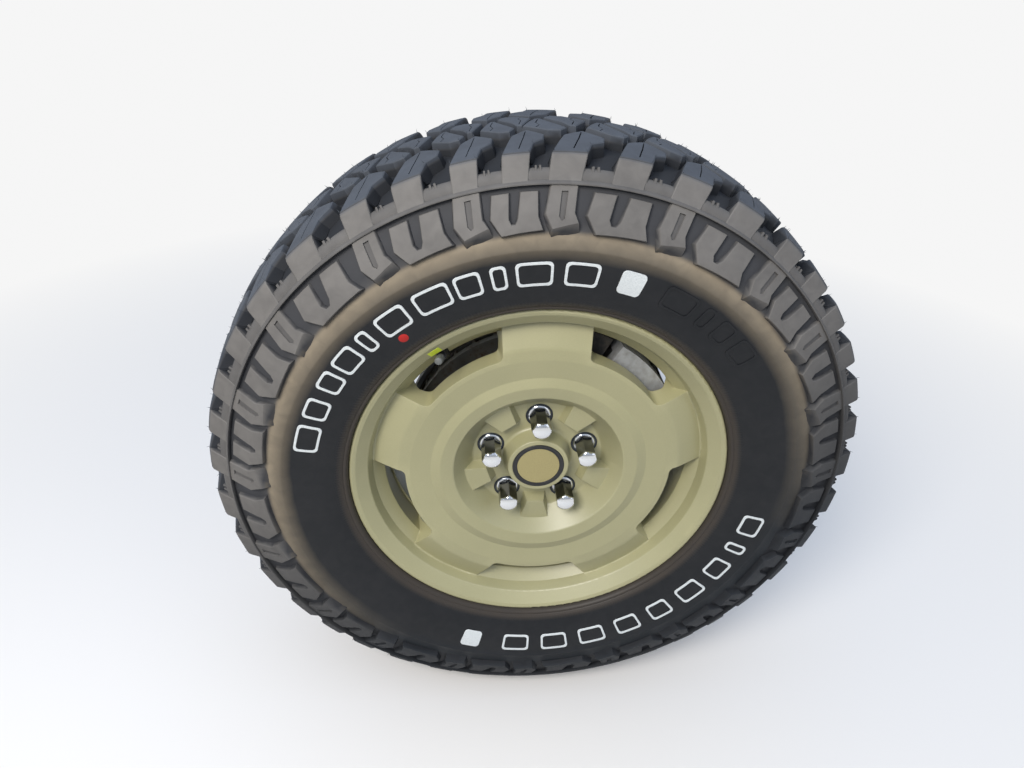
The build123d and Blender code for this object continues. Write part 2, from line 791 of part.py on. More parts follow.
# ---- Yoke ----
def make_yoke():
    """Axle yoke: socket for the axle tube, spine, two arms and the ball joint ears."""
    socket_radius = axle_tube_radius + yoke_socket_wall
    spine_front = mouth_depth - axle_tube_seat_length - yoke_spine_thickness
    spine_back = mouth_depth - axle_tube_seat_length
    yoke = ring_between(0, socket_radius, spine_front + 4, mouth_depth)
    spine_outline = Polyline(
        (yoke_arm_half_width, ball_height - 6),
        (yoke_half_width + 6, 24),
        (yoke_half_width + 6, -24),
        (yoke_arm_half_width, -ball_height + 6),
        (-yoke_arm_half_width, -ball_height + 6),
        (-yoke_half_width - 6, -24),
        (-yoke_half_width - 6, 24),
        (-yoke_arm_half_width, ball_height - 6),
        close=True,
    )
    yoke += slab(make_face(spine_outline), spine_front, spine_back)
    for side in (-1, 1):
        ear = kingpin_plane.location.position + kingpin_axis * (side * ball_height)
        arm_height = yoke_ear_height - 8
        arm = Polyline(
            (ear.Y, ear.Z - arm_height / 2),
            (lip_y + spine_back, side * (ball_height - 18) - arm_height / 2),
            (lip_y + spine_back, side * (ball_height - 18) + arm_height / 2),
            (ear.Y, ear.Z + arm_height / 2),
            close=True,
        )
        arm_face = Plane.YZ * make_face(arm)
        yoke += extrude(arm_face, yoke_arm_half_width, both=True)
        yoke += upright(yoke_ear_radius, ear_bottom, ear_top, side)
    clear_sphere = Pos(0, lip_y + kingpin_depth, 0) * Sphere(fork_half_width + 2 * moving_gap)
    yoke -= clear_sphere
    for side in (-1, 1):
        yoke -= upright(ball_housing_radius + stud_gap, ear_bottom - 20, ear_top + 20, side)
        yoke -= upright(ball_housing_radius + 5, ear_bottom - 26, ear_bottom, side)
    seat_front = mouth_depth - axle_tube_seat_length
    yoke -= ring_between(0, axle_tube_radius, seat_front, mouth_depth + 1)
    yoke -= ring_between(0, axle_tube_radius - 6, 0, mouth_depth)
    return yoke


# ---- Knuckle ----
carrier_front = bearing_flange_front + bearing_flange_thickness + seat_gap
carrier_back = carrier_front + knuckle_carrier_thickness
knuckle_ear_front = bracket_back + seat_gap
knuckle_ear_back = knuckle_ear_front + 15


def caliper_ear():
    """Ear for one bracket bolt, at the top position, set back behind the bracket."""
    outline = Polyline(
        (lip_y + carrier_back - 12, 50),
        (lip_y + knuckle_ear_back, 60),
        (lip_y + knuckle_ear_back, bracket_bolt_radial + 12),
        (lip_y + knuckle_ear_front, bracket_bolt_radial + 12),
        (lip_y + knuckle_ear_front, bracket_bolt_radial - 14),
        (lip_y + carrier_back - 12, bracket_bolt_radial - 32),
        close=True,
    )
    return extrude(Plane.YZ * make_face(outline), 13, both=True)


def make_steering_arm():
    """Arm that reaches forward to the tie rod's eye."""
    eye_x = -steering_arm_length
    eye_y = lip_y + steering_eye_depth
    root_y = lip_y + carrier_front + 3
    outline = Polyline(
        (-40, root_y),
        (-66, root_y),
        (eye_x - 4, eye_y - steering_eye_radius + 2),
        (eye_x + 4, eye_y + steering_eye_radius - 2),
        (-60, root_y + 34),
        (-40, root_y + 20),
        close=True,
    )
    arm = make_face(outline) + Pos(eye_x, eye_y) * Circle(steering_eye_radius)
    arm -= Pos(eye_x, eye_y) * Circle(tie_rod_hole_radius)
    low = -steering_arm_drop - steering_arm_height / 2
    return extrude(Pos(0, 0, low) * arm, steering_arm_height)


def make_knuckle():
    """Steering knuckle: bearing carrier, two arms to the ball studs, steering arm, caliper ears."""
    carrier = ring_between(0, knuckle_carrier_radius, carrier_front, carrier_back)
    knuckle = carrier
    for side in (-1, 1):
        boss = kingpin_plane.location.position + kingpin_axis * (side * (boss_start + boss_end) / 2)
        wall_y = lip_y + carrier_back
        wall = Polyline(
            (wall_y - knuckle_carrier_thickness, side * 40),
            (wall_y, side * 40),
            (wall_y + (2 if side > 0 else -4), side * boss_start),
            (boss.Y, side * boss_start),
            (boss.Y, side * boss_end),
            (wall_y - knuckle_carrier_thickness + 8, side * boss_end),
            (wall_y - knuckle_carrier_thickness, side * (boss_end - 10)),
            close=True,
        )
        knuckle += extrude(Plane.YZ * make_face(wall), knuckle_arm_half_width, both=True)
        knuckle += upright(knuckle_boss_radius, boss_start, boss_end, side)
    for side in (-1, 1):
        knuckle -= upright(yoke_ear_radius + moving_gap, ear_bottom - 20, boss_start - 0.5, side)
        knuckle -= kingpin_turned([
            (0, boss_start - 1),
            (ball_stud_radius + stud_gap, boss_start - 1),
            (ball_stud_radius + stud_gap, boss_start),
            (ball_stud_radius - 2 + stud_gap, boss_end + 1),
            (0, boss_end + 1),
        ], side)
        knuckle -= upright(knuckle_boss_radius, boss_end, stud_end + 20, side)
    for side in (-1, 1):
        knuckle += clocked(caliper_ear(), caliper_angle + side * bracket_bolt_angle)
    knuckle += make_steering_arm()
    knuckle -= ring_between(0, bearing_radius + stud_gap, carrier_front - 1, carrier_back + 40)
    for side in (-1, 1):
        bolt_hole = slab(Circle(bracket_bolt_radius + stud_gap), carrier_back, knuckle_ear_back + 1)
        place = caliper_angle + side * bracket_bolt_angle
        knuckle -= at_bolt(bolt_hole, place, bracket_bolt_radial)
    hole = slab(Circle(bearing_bolt_radius + stud_gap), carrier_front - 1, carrier_back + 1)
    knuckle -= [at_bolt(hole, a, bearing_bolt_circle_radius) for a in bearing_bolt_places()]
    return knuckle


# ---- Brake, drawn at the top position and clocked to the caliper's place ----
def sector_slab(inner, outer, half_angle, front, back):
    """Ring sector centred on the top, between two depths."""
    return slab(sector(inner, outer, half_angle), front, back)


def make_caliper():
    """Sliding caliper: fingers outboard, bridge over the disc, two cylinders inboard."""
    half_angle = caliper_half_angle
    fingers = sector_slab(
        brake_pad_inner_radius + 12, caliper_outer_radius, half_angle - 2,
        finger_front, outer_plate_front - seat_gap,
    )
    finger_notch = sector_slab(
        brake_pad_inner_radius, bridge_inner_radius - 14, 5, finger_front - 1, outer_plate_front
    )
    bridge = sector_slab(
        bridge_inner_radius, caliper_outer_radius, half_angle - 2, finger_front, body_back
    )
    bridge_window = sector_slab(
        bridge_inner_radius - 5, caliper_outer_radius + 5, 9, outer_plate_front - 2, body_front - 4
    )
    body = sector_slab(
        caliper_inner_radius, caliper_outer_radius, half_angle, body_front, body_back
    )
    caliper = fingers - finger_notch + bridge - bridge_window + body
    wing = sector_slab(
        guide_pin_radial - 12, guide_pin_radial + 12, guide_pin_angle + 4, body_back - 10, body_back
    )
    caliper += wing
    for side in (-1, 1):
        bore = slab(Circle(piston_radius + stud_gap), body_front - 1, body_back - 8)
        caliper -= at_bolt(bore, side * piston_spread, piston_radial)
        pin_hole = slab(Circle(guide_pin_radius + stud_gap), body_back - 11, body_back + 1)
        caliper -= at_bolt(pin_hole, side * guide_pin_angle, guide_pin_radial)
    port = slab(Circle(hose_port_radius), body_back - hose_port_length, body_back + 1)
    return caliper - at_bolt(port, 0, caliper_outer_radius - 12)


def make_pistons():
    """The caliper's two hollow pistons, against the inner pad."""
    piston = ring_between(0, piston_radius, inner_plate_back + seat_gap, body_back - 12)
    piston -= ring_between(0, piston_radius - 6, inner_plate_back - 1, body_back - 18)
    return Compound([at_bolt(piston, side * piston_spread, piston_radial) for side in (-1, 1)])


def make_pad_plate(front):
    """Steel plate of a brake pad, with an ear at each end that slides in the bracket."""
    back = front + pad_plate_thickness
    plate = sector_slab(
        brake_pad_inner_radius, brake_pad_outer_radius, brake_pad_half_angle, front, back
    )
    ears = sector_slab(
        pad_ear_radial - 7, pad_ear_radial + 7, post_inner_angle + 2.5, front, back
    )
    return plate + ears


def make_outer_lining():
    """Outboard lining, bonded to its plate and facing the disc."""
    front = outer_plate_front + pad_plate_thickness
    return lining_at(front, front)


def make_inner_lining():
    """Inboard lining, bonded to its plate and facing the disc."""
    front = inner_plate_back - pad_plate_thickness - lining_thickness
    return lining_at(front, front + lining_thickness - 3)


def lining_at(front, web_front):
    """Lining with a slot across its middle that stops short of the plate."""
    back = front + lining_thickness
    lining = sector_slab(
        brake_pad_inner_radius + 3, brake_pad_outer_radius - 2, brake_pad_half_angle - 2, front, back
    )
    slot = slab(Pos(0, piston_radial) * Rectangle(3, 100), front - 1, back + 1)
    web = sector_slab(
        brake_pad_inner_radius + 5, brake_pad_outer_radius - 4, 3, web_front, web_front + 3
    )
    return lining - slot + web


def make_bracket():
    """Caliper bracket: posts over the disc's edge, pad slides and the bar bolted to the knuckle."""
    bracket = sector_slab(
        bracket_bar_inner, bracket_bar_outer, post_outer_angle, inner_plate_back + 1, bracket_back
    )
    for side in (-1, 1):
        middle = side * (post_inner_angle + post_outer_angle) / 2
        half = (post_outer_angle - post_inner_angle) / 2
        outboard = sector_slab(
            pad_ear_radial - 16, caliper_outer_radius - 2, half, bracket_front,
            brake_disc_ring_depth - moving_gap,
        )
        post = sector_slab(
            bridge_inner_radius, caliper_outer_radius - 2, half, bracket_front, bracket_back
        )
        inboard = sector_slab(
            bracket_bar_inner, caliper_outer_radius - 2, half,
            brake_disc_ring_depth + brake_disc_thickness + moving_gap, bracket_back,
        )
        bracket += clocked(outboard + post + inboard, middle)
        pin_hole = slab(Circle(guide_pin_radius + stud_gap), bracket_back - 26, bracket_back + 1)
        bracket -= at_bolt(pin_hole, side * guide_pin_angle, guide_pin_radial)
        bolt_hole = slab(Circle(bracket_bolt_radius + stud_gap), 0, mouth_depth)
        bracket -= at_bolt(bolt_hole, side * bracket_bolt_angle, bracket_bolt_radial)
    for front in (outer_plate_front, inner_plate_back - pad_plate_thickness):
        bracket -= sector_slab(
            pad_ear_radial - 7 - seat_gap, pad_ear_radial + 7 + seat_gap, post_inner_angle + 2.7,
            front - seat_gap, front + pad_plate_thickness + seat_gap,
        )
    return bracket


def make_bracket_bolts():
    """Bolts that hold the bracket to the knuckle's two ears."""
    head_back = knuckle_ear_back + 9
    bolt = slab(hexagon(20), knuckle_ear_back, head_back)
    bolt += slab(Circle(bracket_bolt_radius), inner_plate_back + 6, knuckle_ear_back)
    return Compound([
        at_bolt(bolt, side * bracket_bolt_angle, bracket_bolt_radial) for side in (-1, 1)
    ])


def make_guide_pins():
    """Guide pins on which the caliper floats, with their heads inboard."""
    pin = slab(Circle(guide_pin_radius), bracket_back - 24, body_back)
    pin += slab(hexagon(15), body_back, body_back + 6)
    return Compound([
        at_bolt(pin, side * guide_pin_angle, guide_pin_radial) for side in (-1, 1)
    ])


def make_pin_boots():
    """Rubber boots on the guide pins between bracket and caliper."""
    front = bracket_back + seat_gap
    back = body_back - 10 - seat_gap
    boot = ring_between(guide_pin_radius + stud_gap, guide_pin_radius + 4, front, back)
    return Compound([
        at_bolt(boot, side * guide_pin_angle, guide_pin_radial) for side in (-1, 1)
    ])


def make_bleed_screw():
    """Bleed screw on the caliper's inboard face, with its rubber cap."""
    screw = slab(hexagon(10), body_back, body_back + 5)
    screw += slab(Circle(3), body_back + 5, body_back + 9)
    screw += slab(Circle(5), body_back + 9, body_back + 19)
    return at_bolt(screw, -piston_spread - 5, caliper_outer_radius - 10)


def make_dust_shield():
    """Pressed shield behind the disc, with a turned edge and a gap for the caliper."""
    back = carrier_front - seat_gap
    front = back - shield_thickness
    shield = ring_between(bearing_flange_radius + 1, shield_radius, front, back)
    shield += ring_between(shield_radius - shield_thickness, shield_radius, front - 10, back)
    gap = sector_slab(
        bracket_bar_inner - moving_gap, shield_radius + 1, post_outer_angle + 3, front - 11, back + 1
    )
    return shield - clocked(gap, caliper_angle)


# ---- Nodes ----
def make_nodes():
    """Every node of the assembly by name."""
    nodes = {
        "axle_yoke": make_yoke(),
        "upper_ball_joint": make_ball_housing(1),
        "lower_ball_joint": make_ball_housing(-1),
        "steering_knuckle": make_knuckle(),
        "upper_ball_stud": make_ball_stud(1),
        "lower_ball_stud": make_ball_stud(-1),
        "upper_stud_nut": make_stud_nut(1),
        "lower_stud_nut": make_stud_nut(-1),
        "wheel_bearing": make_bearing(),
        "bearing_bolts": make_bearing_bolts(),
        "wheel_hub": make_hub(),
        "brake_disc": make_brake_disc(),
        "drive_shaft": make_drive_shaft(),
        "wheel_rim": make_rim(),
        "tyre": make_tyre(),
        "cap_ring": make_cap_ring(),
        "cap_disc": make_cap_disc(),
        "valve_stem": clocked(make_valve_stem(), valve_angle),
        "valve_cap": clocked(make_valve_cap(), valve_angle),
    }
    for number, angle in enumerate(bolt_angles, start=1):
        nodes[f"wheel_stud_{number}"] = at_bolt(make_stud(), angle)
        nodes[f"wheel_nut_{number}"] = at_bolt(make_nut(), angle)
    brake_nodes = {
        "caliper_body": make_caliper(),
        "caliper_pistons": make_pistons(),
        "caliper_bracket": make_bracket(),
        "bracket_bolts": make_bracket_bolts(),
        "guide_pins": make_guide_pins(),
        "pin_boots": make_pin_boots(),
        "bleed_screw": make_bleed_screw(),
        "outer_pad_plate": make_pad_plate(outer_plate_front),
        "outer_pad_lining": make_outer_lining(),
        "inner_pad_plate": make_pad_plate(inner_plate_back - pad_plate_thickness),
        "inner_pad_lining": make_inner_lining(),
    }
    for name, shape in brake_nodes.items():
        nodes[name] = clocked(shape, caliper_angle)
    nodes["dust_shield"] = make_dust_shield()
    return nodes


os.makedirs("parts", exist_ok=True)
for name, shape in make_nodes().items():
    export_step(shape, f"parts/{name}.step")
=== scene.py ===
import bmesh
import bpy
import math
import random
import numpy as np
from mathutils import Matrix, Vector


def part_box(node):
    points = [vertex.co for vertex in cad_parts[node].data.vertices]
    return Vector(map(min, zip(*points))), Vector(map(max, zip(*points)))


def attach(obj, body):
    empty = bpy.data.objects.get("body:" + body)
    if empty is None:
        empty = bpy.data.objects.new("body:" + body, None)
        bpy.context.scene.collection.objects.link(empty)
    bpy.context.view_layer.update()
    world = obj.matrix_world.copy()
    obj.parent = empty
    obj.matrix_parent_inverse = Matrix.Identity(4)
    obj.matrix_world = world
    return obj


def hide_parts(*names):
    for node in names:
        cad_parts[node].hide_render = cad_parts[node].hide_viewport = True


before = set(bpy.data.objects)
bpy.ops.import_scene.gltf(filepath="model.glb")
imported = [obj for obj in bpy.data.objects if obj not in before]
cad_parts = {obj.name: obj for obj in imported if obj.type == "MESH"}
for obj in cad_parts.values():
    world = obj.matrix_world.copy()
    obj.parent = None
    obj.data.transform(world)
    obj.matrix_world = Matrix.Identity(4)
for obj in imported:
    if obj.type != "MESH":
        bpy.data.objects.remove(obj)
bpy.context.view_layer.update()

# ---- Camera ----
# Eye nearly a metre from the wheel's centre, in front of it and above, looking down by a third of
# a right angle. It is turned about the spin axis, so that the wheel shows a little clockwise.
eye = Vector((-0.0809, -1.0336, 0.5938))
pan, tilt, roll = math.radians(3.613), math.radians(32.252), math.radians(0.197)
forward = Vector((
    math.sin(pan) * math.cos(tilt), math.cos(pan) * math.cos(tilt), -math.sin(tilt)))
level_right = Vector((math.cos(pan), -math.sin(pan), 0))
level_up = level_right.cross(forward)
right = level_right * math.cos(roll) + level_up * math.sin(roll)
up = level_up * math.cos(roll) - level_right * math.sin(roll)
camera = bpy.data.objects.new("camera", bpy.data.cameras.new("camera"))
wheel_clocking = math.radians(-1.9)
camera.matrix_world = (Matrix.Rotation(wheel_clocking, 4, "Y") @ Matrix.Translation(eye)
                       @ Matrix((right, up, -forward)).transposed().to_4x4())
camera.data.sensor_width = 36
camera.data.lens = 26.016
camera.data.clip_start = 0.02
bpy.context.scene.collection.objects.link(camera)
bpy.context.scene.camera = camera
bpy.context.scene.view_settings.view_transform = "Standard"


# ---- Floor, backdrop and light ----
# A pale sweep of studio paper under the tyre, a soft lamp high on the left, a wider and weaker one
# on the right, and a plain bright surround. The paper fades into the surround with distance.
class Socket:
    """A shader socket that takes part in plain arithmetic; node() makes any other node."""

    def __init__(self, tree, socket=None):
        self.tree, self.socket = tree, socket

    def node(self, kind, settings=None, sockets=None, out=0):
        made = self.tree.nodes.new("ShaderNode" + kind)
        for name, value in (settings or {}).items():
            setattr(made, name, value)
        for name, value in (sockets or {}).items():
            target = made.inputs[name]
            if isinstance(value, Socket):
                self.tree.links.new(value.socket, target)
            else:
                target.default_value = value
        return Socket(self.tree, made.outputs[out])

    def math(self, operation, *terms):
        return self.node("Math", {"operation": operation}, dict(enumerate(terms)))

    def __add__(self, other):
        return self.math("ADD", self, other)

    __radd__ = __add__

    def __sub__(self, other):
        return self.math("SUBTRACT", self, other)

    def __rsub__(self, other):
        return self.math("SUBTRACT", other, self)

    def __mul__(self, other):
        return self.math("MULTIPLY", self, other)

    __rmul__ = __mul__

    def __pow__(self, other):
        return self.math("POWER", self, other)

    def __lt__(self, other):
        return self.math("LESS_THAN", self, other)

    def noise(self, scale, detail, **more):
        """Cloudy values about 0.5, the finer the higher the scale."""
        return self.node("TexNoise", {}, {"Scale": scale, "Detail": detail, **more})

    def between(self, low, high):
        """0 below low, 1 above high."""
        return self.node("MapRange", {"clamp": True}, {0: self, 1: low, 2: high})

    def mixed(self, first, second):
        """First colour at 0, second at 1."""
        return self.node("Mix", {"data_type": "RGBA"}, {0: self, 6: first, 7: second}, 2)


def colour(red, green, blue):
    """Shader colour of an 8-bit screen colour."""
    linear = [
        ((v / 255 + 0.055) / 1.055) ** 2.4 if v > 10 else v / 3295
        for v in (red, green, blue)]
    return (*linear, 1)


def new_finish(name, **uniform):
    """Material with one Principled shader. Returns the material, the shader and a bare Socket."""
    material = bpy.data.materials.new(name)
    material.use_nodes = True
    tree = material.node_tree
    shader = tree.nodes["Principled BSDF"]
    for label, value in uniform.items():
        socket_name = label.replace("_", " ").title().replace("Ior", "IOR")
        shader.inputs[socket_name].default_value = value
    return material, shader, Socket(tree)


def feed(shader, label, value):
    """Link a varying value to one of the shader's sockets."""
    value.tree.links.new(value.socket, shader.inputs[label])


def mesh_object(name, verts, faces, material, smooth_angle=32):
    """Mesh piece in metres, smooth where faces meet at less than an angle."""
    mesh = bpy.data.meshes.new(name)
    mesh.from_pydata(verts, [], faces)
    mesh.materials.append(material)
    mesh.update()
    mesh.shade_smooth()
    mesh.set_sharp_from_angle(angle=math.radians(smooth_angle))
    piece = bpy.data.objects.new(name, mesh)
    bpy.context.scene.collection.objects.link(piece)
    return piece


floor_clearance = 0.0004
floor_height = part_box("tyre")[0].z - floor_clearance
paper_pale, paper_paler = (0.83, 0.805, 0.775, 1), (0.85, 0.825, 0.795, 1)
paper_bounce = (0.15, 0.15, 0.147, 1)
backdrop_white = (0.92, 0.92, 0.92, 1)
fade_start, fade_end = 0.75, 1.9
floor_paint, floor_shader, floor_wires = new_finish("floor_paint", roughness=0.85)
floor_path = floor_wires.tree.nodes.new("ShaderNodeLightPath")
seeing_rays = [
    Socket(floor_wires.tree, floor_path.outputs[ray])
    for ray in ("Is Camera Ray", "Is Glossy Ray", "Is Transmission Ray")]
looked_at = sum(seeing_rays, 0).between(0, 1)
grain = floor_wires.noise(1.5, 4.0)
feed(floor_shader, "Base Color", looked_at.mixed(
    paper_bounce, grain.between(0.3, 0.7).mixed(paper_pale, paper_paler)))
distance = floor_wires.node(
    "VectorMath", {"operation": "LENGTH"}, {0: floor_wires.node("TexCoord", {}, {}, 3)}, 1)
backdrop_light = floor_wires.node("Emission", {}, {"Color": backdrop_white})
shown = floor_wires.node("MixShader", {}, {
    0: looked_at * distance.between(fade_start, fade_end),
    1: Socket(floor_wires.tree, floor_shader.outputs[0]),
    2: backdrop_light})
floor_output = floor_wires.tree.nodes["Material Output"]
floor_wires.tree.links.new(shown.socket, floor_output.inputs["Surface"])
reach = 30
floor_corners = [
    (x * reach, y * reach, floor_height) for x, y in ((-1, -1), (1, -1), (1, 1), (-1, 1))]
floor = mesh_object("floor", floor_corners, [(0, 1, 2, 3)], floor_paint)

lamp_target = Vector((0, -0.2, 0))
# lamp table, columns: name, place, width, watts, tint
for name, place, width, watts, tint in [
    ("key_lamp", (-1.0, -1.85, 1.7), 1.0, 58, (1.0, 0.96, 0.9)),
    ("fill_lamp", (2.6, -1.8, 1.4), 2.4, 14, (0.92, 0.95, 1.0)),
]:
    lamp = bpy.data.lights.new(name, "AREA")
    lamp.size, lamp.energy, lamp.color = width, watts, tint
    lamp_object = bpy.data.objects.new(name, lamp)
    lamp_object.location = place
    lamp_object.rotation_mode = "QUATERNION"
    lamp_object.rotation_quaternion = (lamp_target - Vector(place)).to_track_quat("-Z", "Y")
    bpy.context.scene.collection.objects.link(lamp_object)

horizon_grey, zenith_blue = (0.36, 0.36, 0.36, 1), (0.58, 0.68, 0.85, 1)
world = bpy.data.worlds.new("surround")
world.use_nodes = True
bpy.context.scene.world = world
sky = Socket(world.node_tree)
light_path = world.node_tree.nodes.new("ShaderNodeLightPath")
seen = Socket(world.node_tree, light_path.outputs["Is Camera Ray"])
height = sky.node("SeparateXYZ", {}, {0: sky.node("TexCoord", {}, {}, 0)}, 2)
dome = height.between(-0.1, 0.8).mixed(horizon_grey, zenith_blue)
background = world.node_tree.nodes["Background"]
world.node_tree.links.new(seen.mixed(dome, backdrop_white).socket, background.inputs["Color"])
background.inputs["Strength"].default_value = 1.0

# ---- Tyre ----
# Off-road tyre of charcoal rubber, moulded with four rows of lugs, side lugs under the shoulder
# rib, outlined bars on the sidewall and vent hairs, and marked with a red balance dot. Its beads
# are stretched over the rim's flanges and held there by the air.
# y of the rim's lip in metres; depths on the wheel are in mm behind it, radii in mm
lip_y = -0.320
crown_radius = 409.0
tyre_middle = 106.25
# in degrees: mark of the first pair of lugs, half step for which a lug is drawn, step of each pair
first_pair = -106.8
drawn_pitch = 7.35
pair_steps = [
    20.4, 16.0, 17.6, 21.1, 17.2, 15.0, 19.2, 20.0, 15.6, 16.0,
    16.4, 18.8, 20.4, 16.0, 17.6, 20.8, 17.2, 18.6, 16.1, 20.0]

# outer envelope of lugs and side lugs, columns: radius, depth behind the rim's lip
envelope_table = np.array([
    (326, -24.0), (335, -22.6), (350, -16.5), (367, -7.5), (375, -3.5), (378, 0), (386, 4),
    (390, 6), (399, 11), (401.5, 16), (404.5, 40), (406.8, 65), (408.2, 90), (408.7, tyre_middle)])
run_zero_row = 5
run_pitch = 0.5
steps = np.hypot(*np.diff(envelope_table, axis=0).T)
run_marks = np.concatenate([[0], np.cumsum(steps)])
run_marks -= run_marks[run_zero_row]
half_run = run_marks[-1]
run_line = np.arange(run_marks[0], half_run, run_pitch)
far_line = 2 * half_run - run_line[::-1]
envelope_run = np.concatenate([run_line, far_line])
near_radius = np.interp(run_line, run_marks, envelope_table[:, 0])
near_depth = np.interp(run_line, run_marks, envelope_table[:, 1])
envelope_radius = np.concatenate([near_radius, near_radius[::-1]])
envelope_depth = np.concatenate([near_depth, 2 * tyre_middle - near_depth[::-1]])


def rounded_line(values, half_window):
    """Running mean, so that the envelope has no sharp bends."""
    padded = np.concatenate([[values[0]] * half_window, values, [values[-1]] * half_window])
    return np.convolve(padded, np.ones(2 * half_window + 1) / (2 * half_window + 1), "valid")


bend_window = 5
slope_radius = rounded_line(np.gradient(envelope_radius, envelope_run), bend_window)
slope_depth = rounded_line(np.gradient(envelope_depth, envelope_run), bend_window)


def on_tyre(points, angle, stretch):
    """Wrap flat points (clockwise mm at the crown, run, height) round the tyre, in metres."""
    across, run, rise = np.asarray(points, float).T
    radius_slope = np.interp(run, envelope_run, slope_radius)
    depth_slope = np.interp(run, envelope_run, slope_depth)
    length = np.hypot(radius_slope, depth_slope)
    out_radius, out_depth = depth_slope / length, -radius_slope / length
    radius = np.interp(run, envelope_run, envelope_radius) + rise * out_radius
    depth = np.interp(run, envelope_run, envelope_depth) + rise * out_depth
    turn = np.radians(angle) + across * stretch / crown_radius
    points_mm = [radius * np.sin(turn), depth + lip_y * 1000, radius * np.cos(turn)]
    return np.stack(points_mm, axis=1) / 1000


def offset_outline(outline, inward):
    """Move each side of a counter-clockwise outline inward."""
    points = np.array(outline, float)
    sides = np.roll(points, -1, axis=0) - points
    inner = np.stack([-sides[:, 1], sides[:, 0]], axis=1) / np.hypot(*sides.T)[:, None]
    before = np.roll(inner, 1, axis=0)
    corner = (inner + before) / (1 + (inner * before).sum(axis=1))[:, None]
    return points + corner * inward


def lug_mesh(outline, top, foot, draft=1.5, bevel=1.0, foot_outline=None,
             pocket=None, pocket_depth=2.0, pocket_draft=0.5, grid=9.0):
    """Bevelled block in flat space, cut finely enough to bend. Returns points and triangles."""
    area = sum(a[0] * b[1] - b[0] * a[1] for a, b in zip(outline, outline[1:] + outline[:1]))
    if area < 0:
        outline = outline[::-1]
        foot_outline = foot_outline and foot_outline[::-1]
    block = bmesh.new()
    levels = [
        (foot_outline or offset_outline(outline, -draft), foot),
        (offset_outline(outline, 0), top - bevel),
        (offset_outline(outline, bevel), top)]
    rings = [[block.verts.new((x, y, z)) for x, y in line] for line, z in levels]
    count = len(outline)
    for low, high in zip(rings, rings[1:]):
        for i in range(count):
            j = (i + 1) % count
            block.faces.new((low[i], low[j], high[j], high[i]))
    rims = [rings[-1]]
    if pocket:
        lip, bottom = [
            [block.verts.new((x, y, z)) for x, y in offset_outline(pocket, inward)]
            for inward, z in ((0, top), (pocket_draft, top - pocket_depth))]
        for i in range(len(pocket)):
            j = (i + 1) % len(pocket)
            block.faces.new((lip[i], bottom[i], bottom[j], lip[j]))
        block.faces.new(bottom)
        rims.append(lip)
    edges = [
        block.edges.get((rim[i], rim[(i + 1) % len(rim)])) for rim in rims for i in range(len(rim))]
    bmesh.ops.triangle_fill(block, use_beauty=True, edges=edges, normal=(0, 0, 1))
    bmesh.ops.triangulate(block, faces=block.faces[:])
    xs, ys = [p[0] for p in outline], [p[1] for p in outline]
    cuts = [((x, 0, 0), (1, 0, 0)) for x in np.arange(min(xs) + grid, max(xs), grid)]
    cuts += [((0, y, 0), (0, 1, 0)) for y in np.arange(min(ys) + grid, max(ys), grid)]
    for place, direction in cuts:
        everything = block.verts[:] + block.edges[:] + block.faces[:]
        bmesh.ops.bisect_plane(block, geom=everything, plane_co=place, plane_no=direction)
    bmesh.ops.triangulate(block, faces=block.faces[:])
    block.verts.index_update()
    points = np.array([v.co[:] for v in block.verts])
    triangles = np.array([[v.index for v in f.verts] for f in block.faces])
    block.free()
    return points, triangles


# lug outlines, corners (clockwise of the lug's mark, run); the near half of the tread
shoulder_face = lug_mesh(
    [(-14, -3), (13.5, -3), (17.7, 27.3), (-10.3, 27.3)], 0, -15, draft=1.0, bevel=0.8, grid=5)
sipe = {"pocket_depth": 6, "pocket_draft": 0.1}
shoulder_top = lug_mesh(
    [(-10.2, 27.5), (17.6, 27.5), (23, 50.4), (33.8, 60.3), (35.6, 73), (18.6, 89), (2.3, 73)],
    0, -15.5, draft=2.2,
    pocket=[(17.1, 84), (12.9, 62.9), (6.6, 36), (7.5, 35.6), (13.9, 62.5), (18.1, 84)], **sipe)
middle_block = lug_mesh(
    [(-28.2, 104.5), (-20, 97), (-9.5, 88), (1.5, 88), (7, 98), (-6.6, 120), (-12, 134), (-17, 134),
     (-23.5, 118)],
    0, -15.5, draft=2.2,
    pocket=[(-18.5, 97.5), (-17.6, 97.1), (-14.3, 104.4), (-16.7, 114.5), (-13.6, 130),
            (-14.4, 130.4), (-17.7, 114.6), (-15.3, 104.6)], **sipe)
groove_tie = lug_mesh(
    [(20.5, 1), (29, 1), (29, 5), (27.8, 14), (25.8, 14), (25.8, 6.5), (23.6, 6.5), (23.6, 14),
     (21.6, 14), (20.5, 5)],
    -1.6, -13, draft=0.3, bevel=0.4)
narrow_side_lug = lug_mesh(
    [(-14.3, -2), (14.3, -2), (11.6, -33), (17.2, -43), (-14.6, -49.5), (-22.3, -34)],
    0, -8.5, bevel=0.6,
    foot_outline=[(-17.5, -2), (17.5, -2), (14.8, -33), (20.6, -55), (-15.5, -62), (-25.6, -36)],
    pocket=[(-7, -37), (-3.5, -41), (0, -39), (3.5, -12), (-4, -12)], grid=7)
wide_side_lug = lug_mesh(
    [(-27, -11.5), (-7.8, -11.5), (-11.5, -37), (-9, -42.5), (-4.5, -42.5), (-1, -37), (4.5, -11.5),
     (23.6, -11.5), (22.4, -36), (27.4, -50), (-22.6, -53), (-32.2, -35)],
    -0.6, -8, draft=1.8, bevel=0.7, grid=7)

far_shift = -1.5
# how deep below a lug's top its walls take the painted hollow shade in full
relief_height, relief_start = 3, 0.2
tread_points, tread_faces, tread_relief = [], [], []


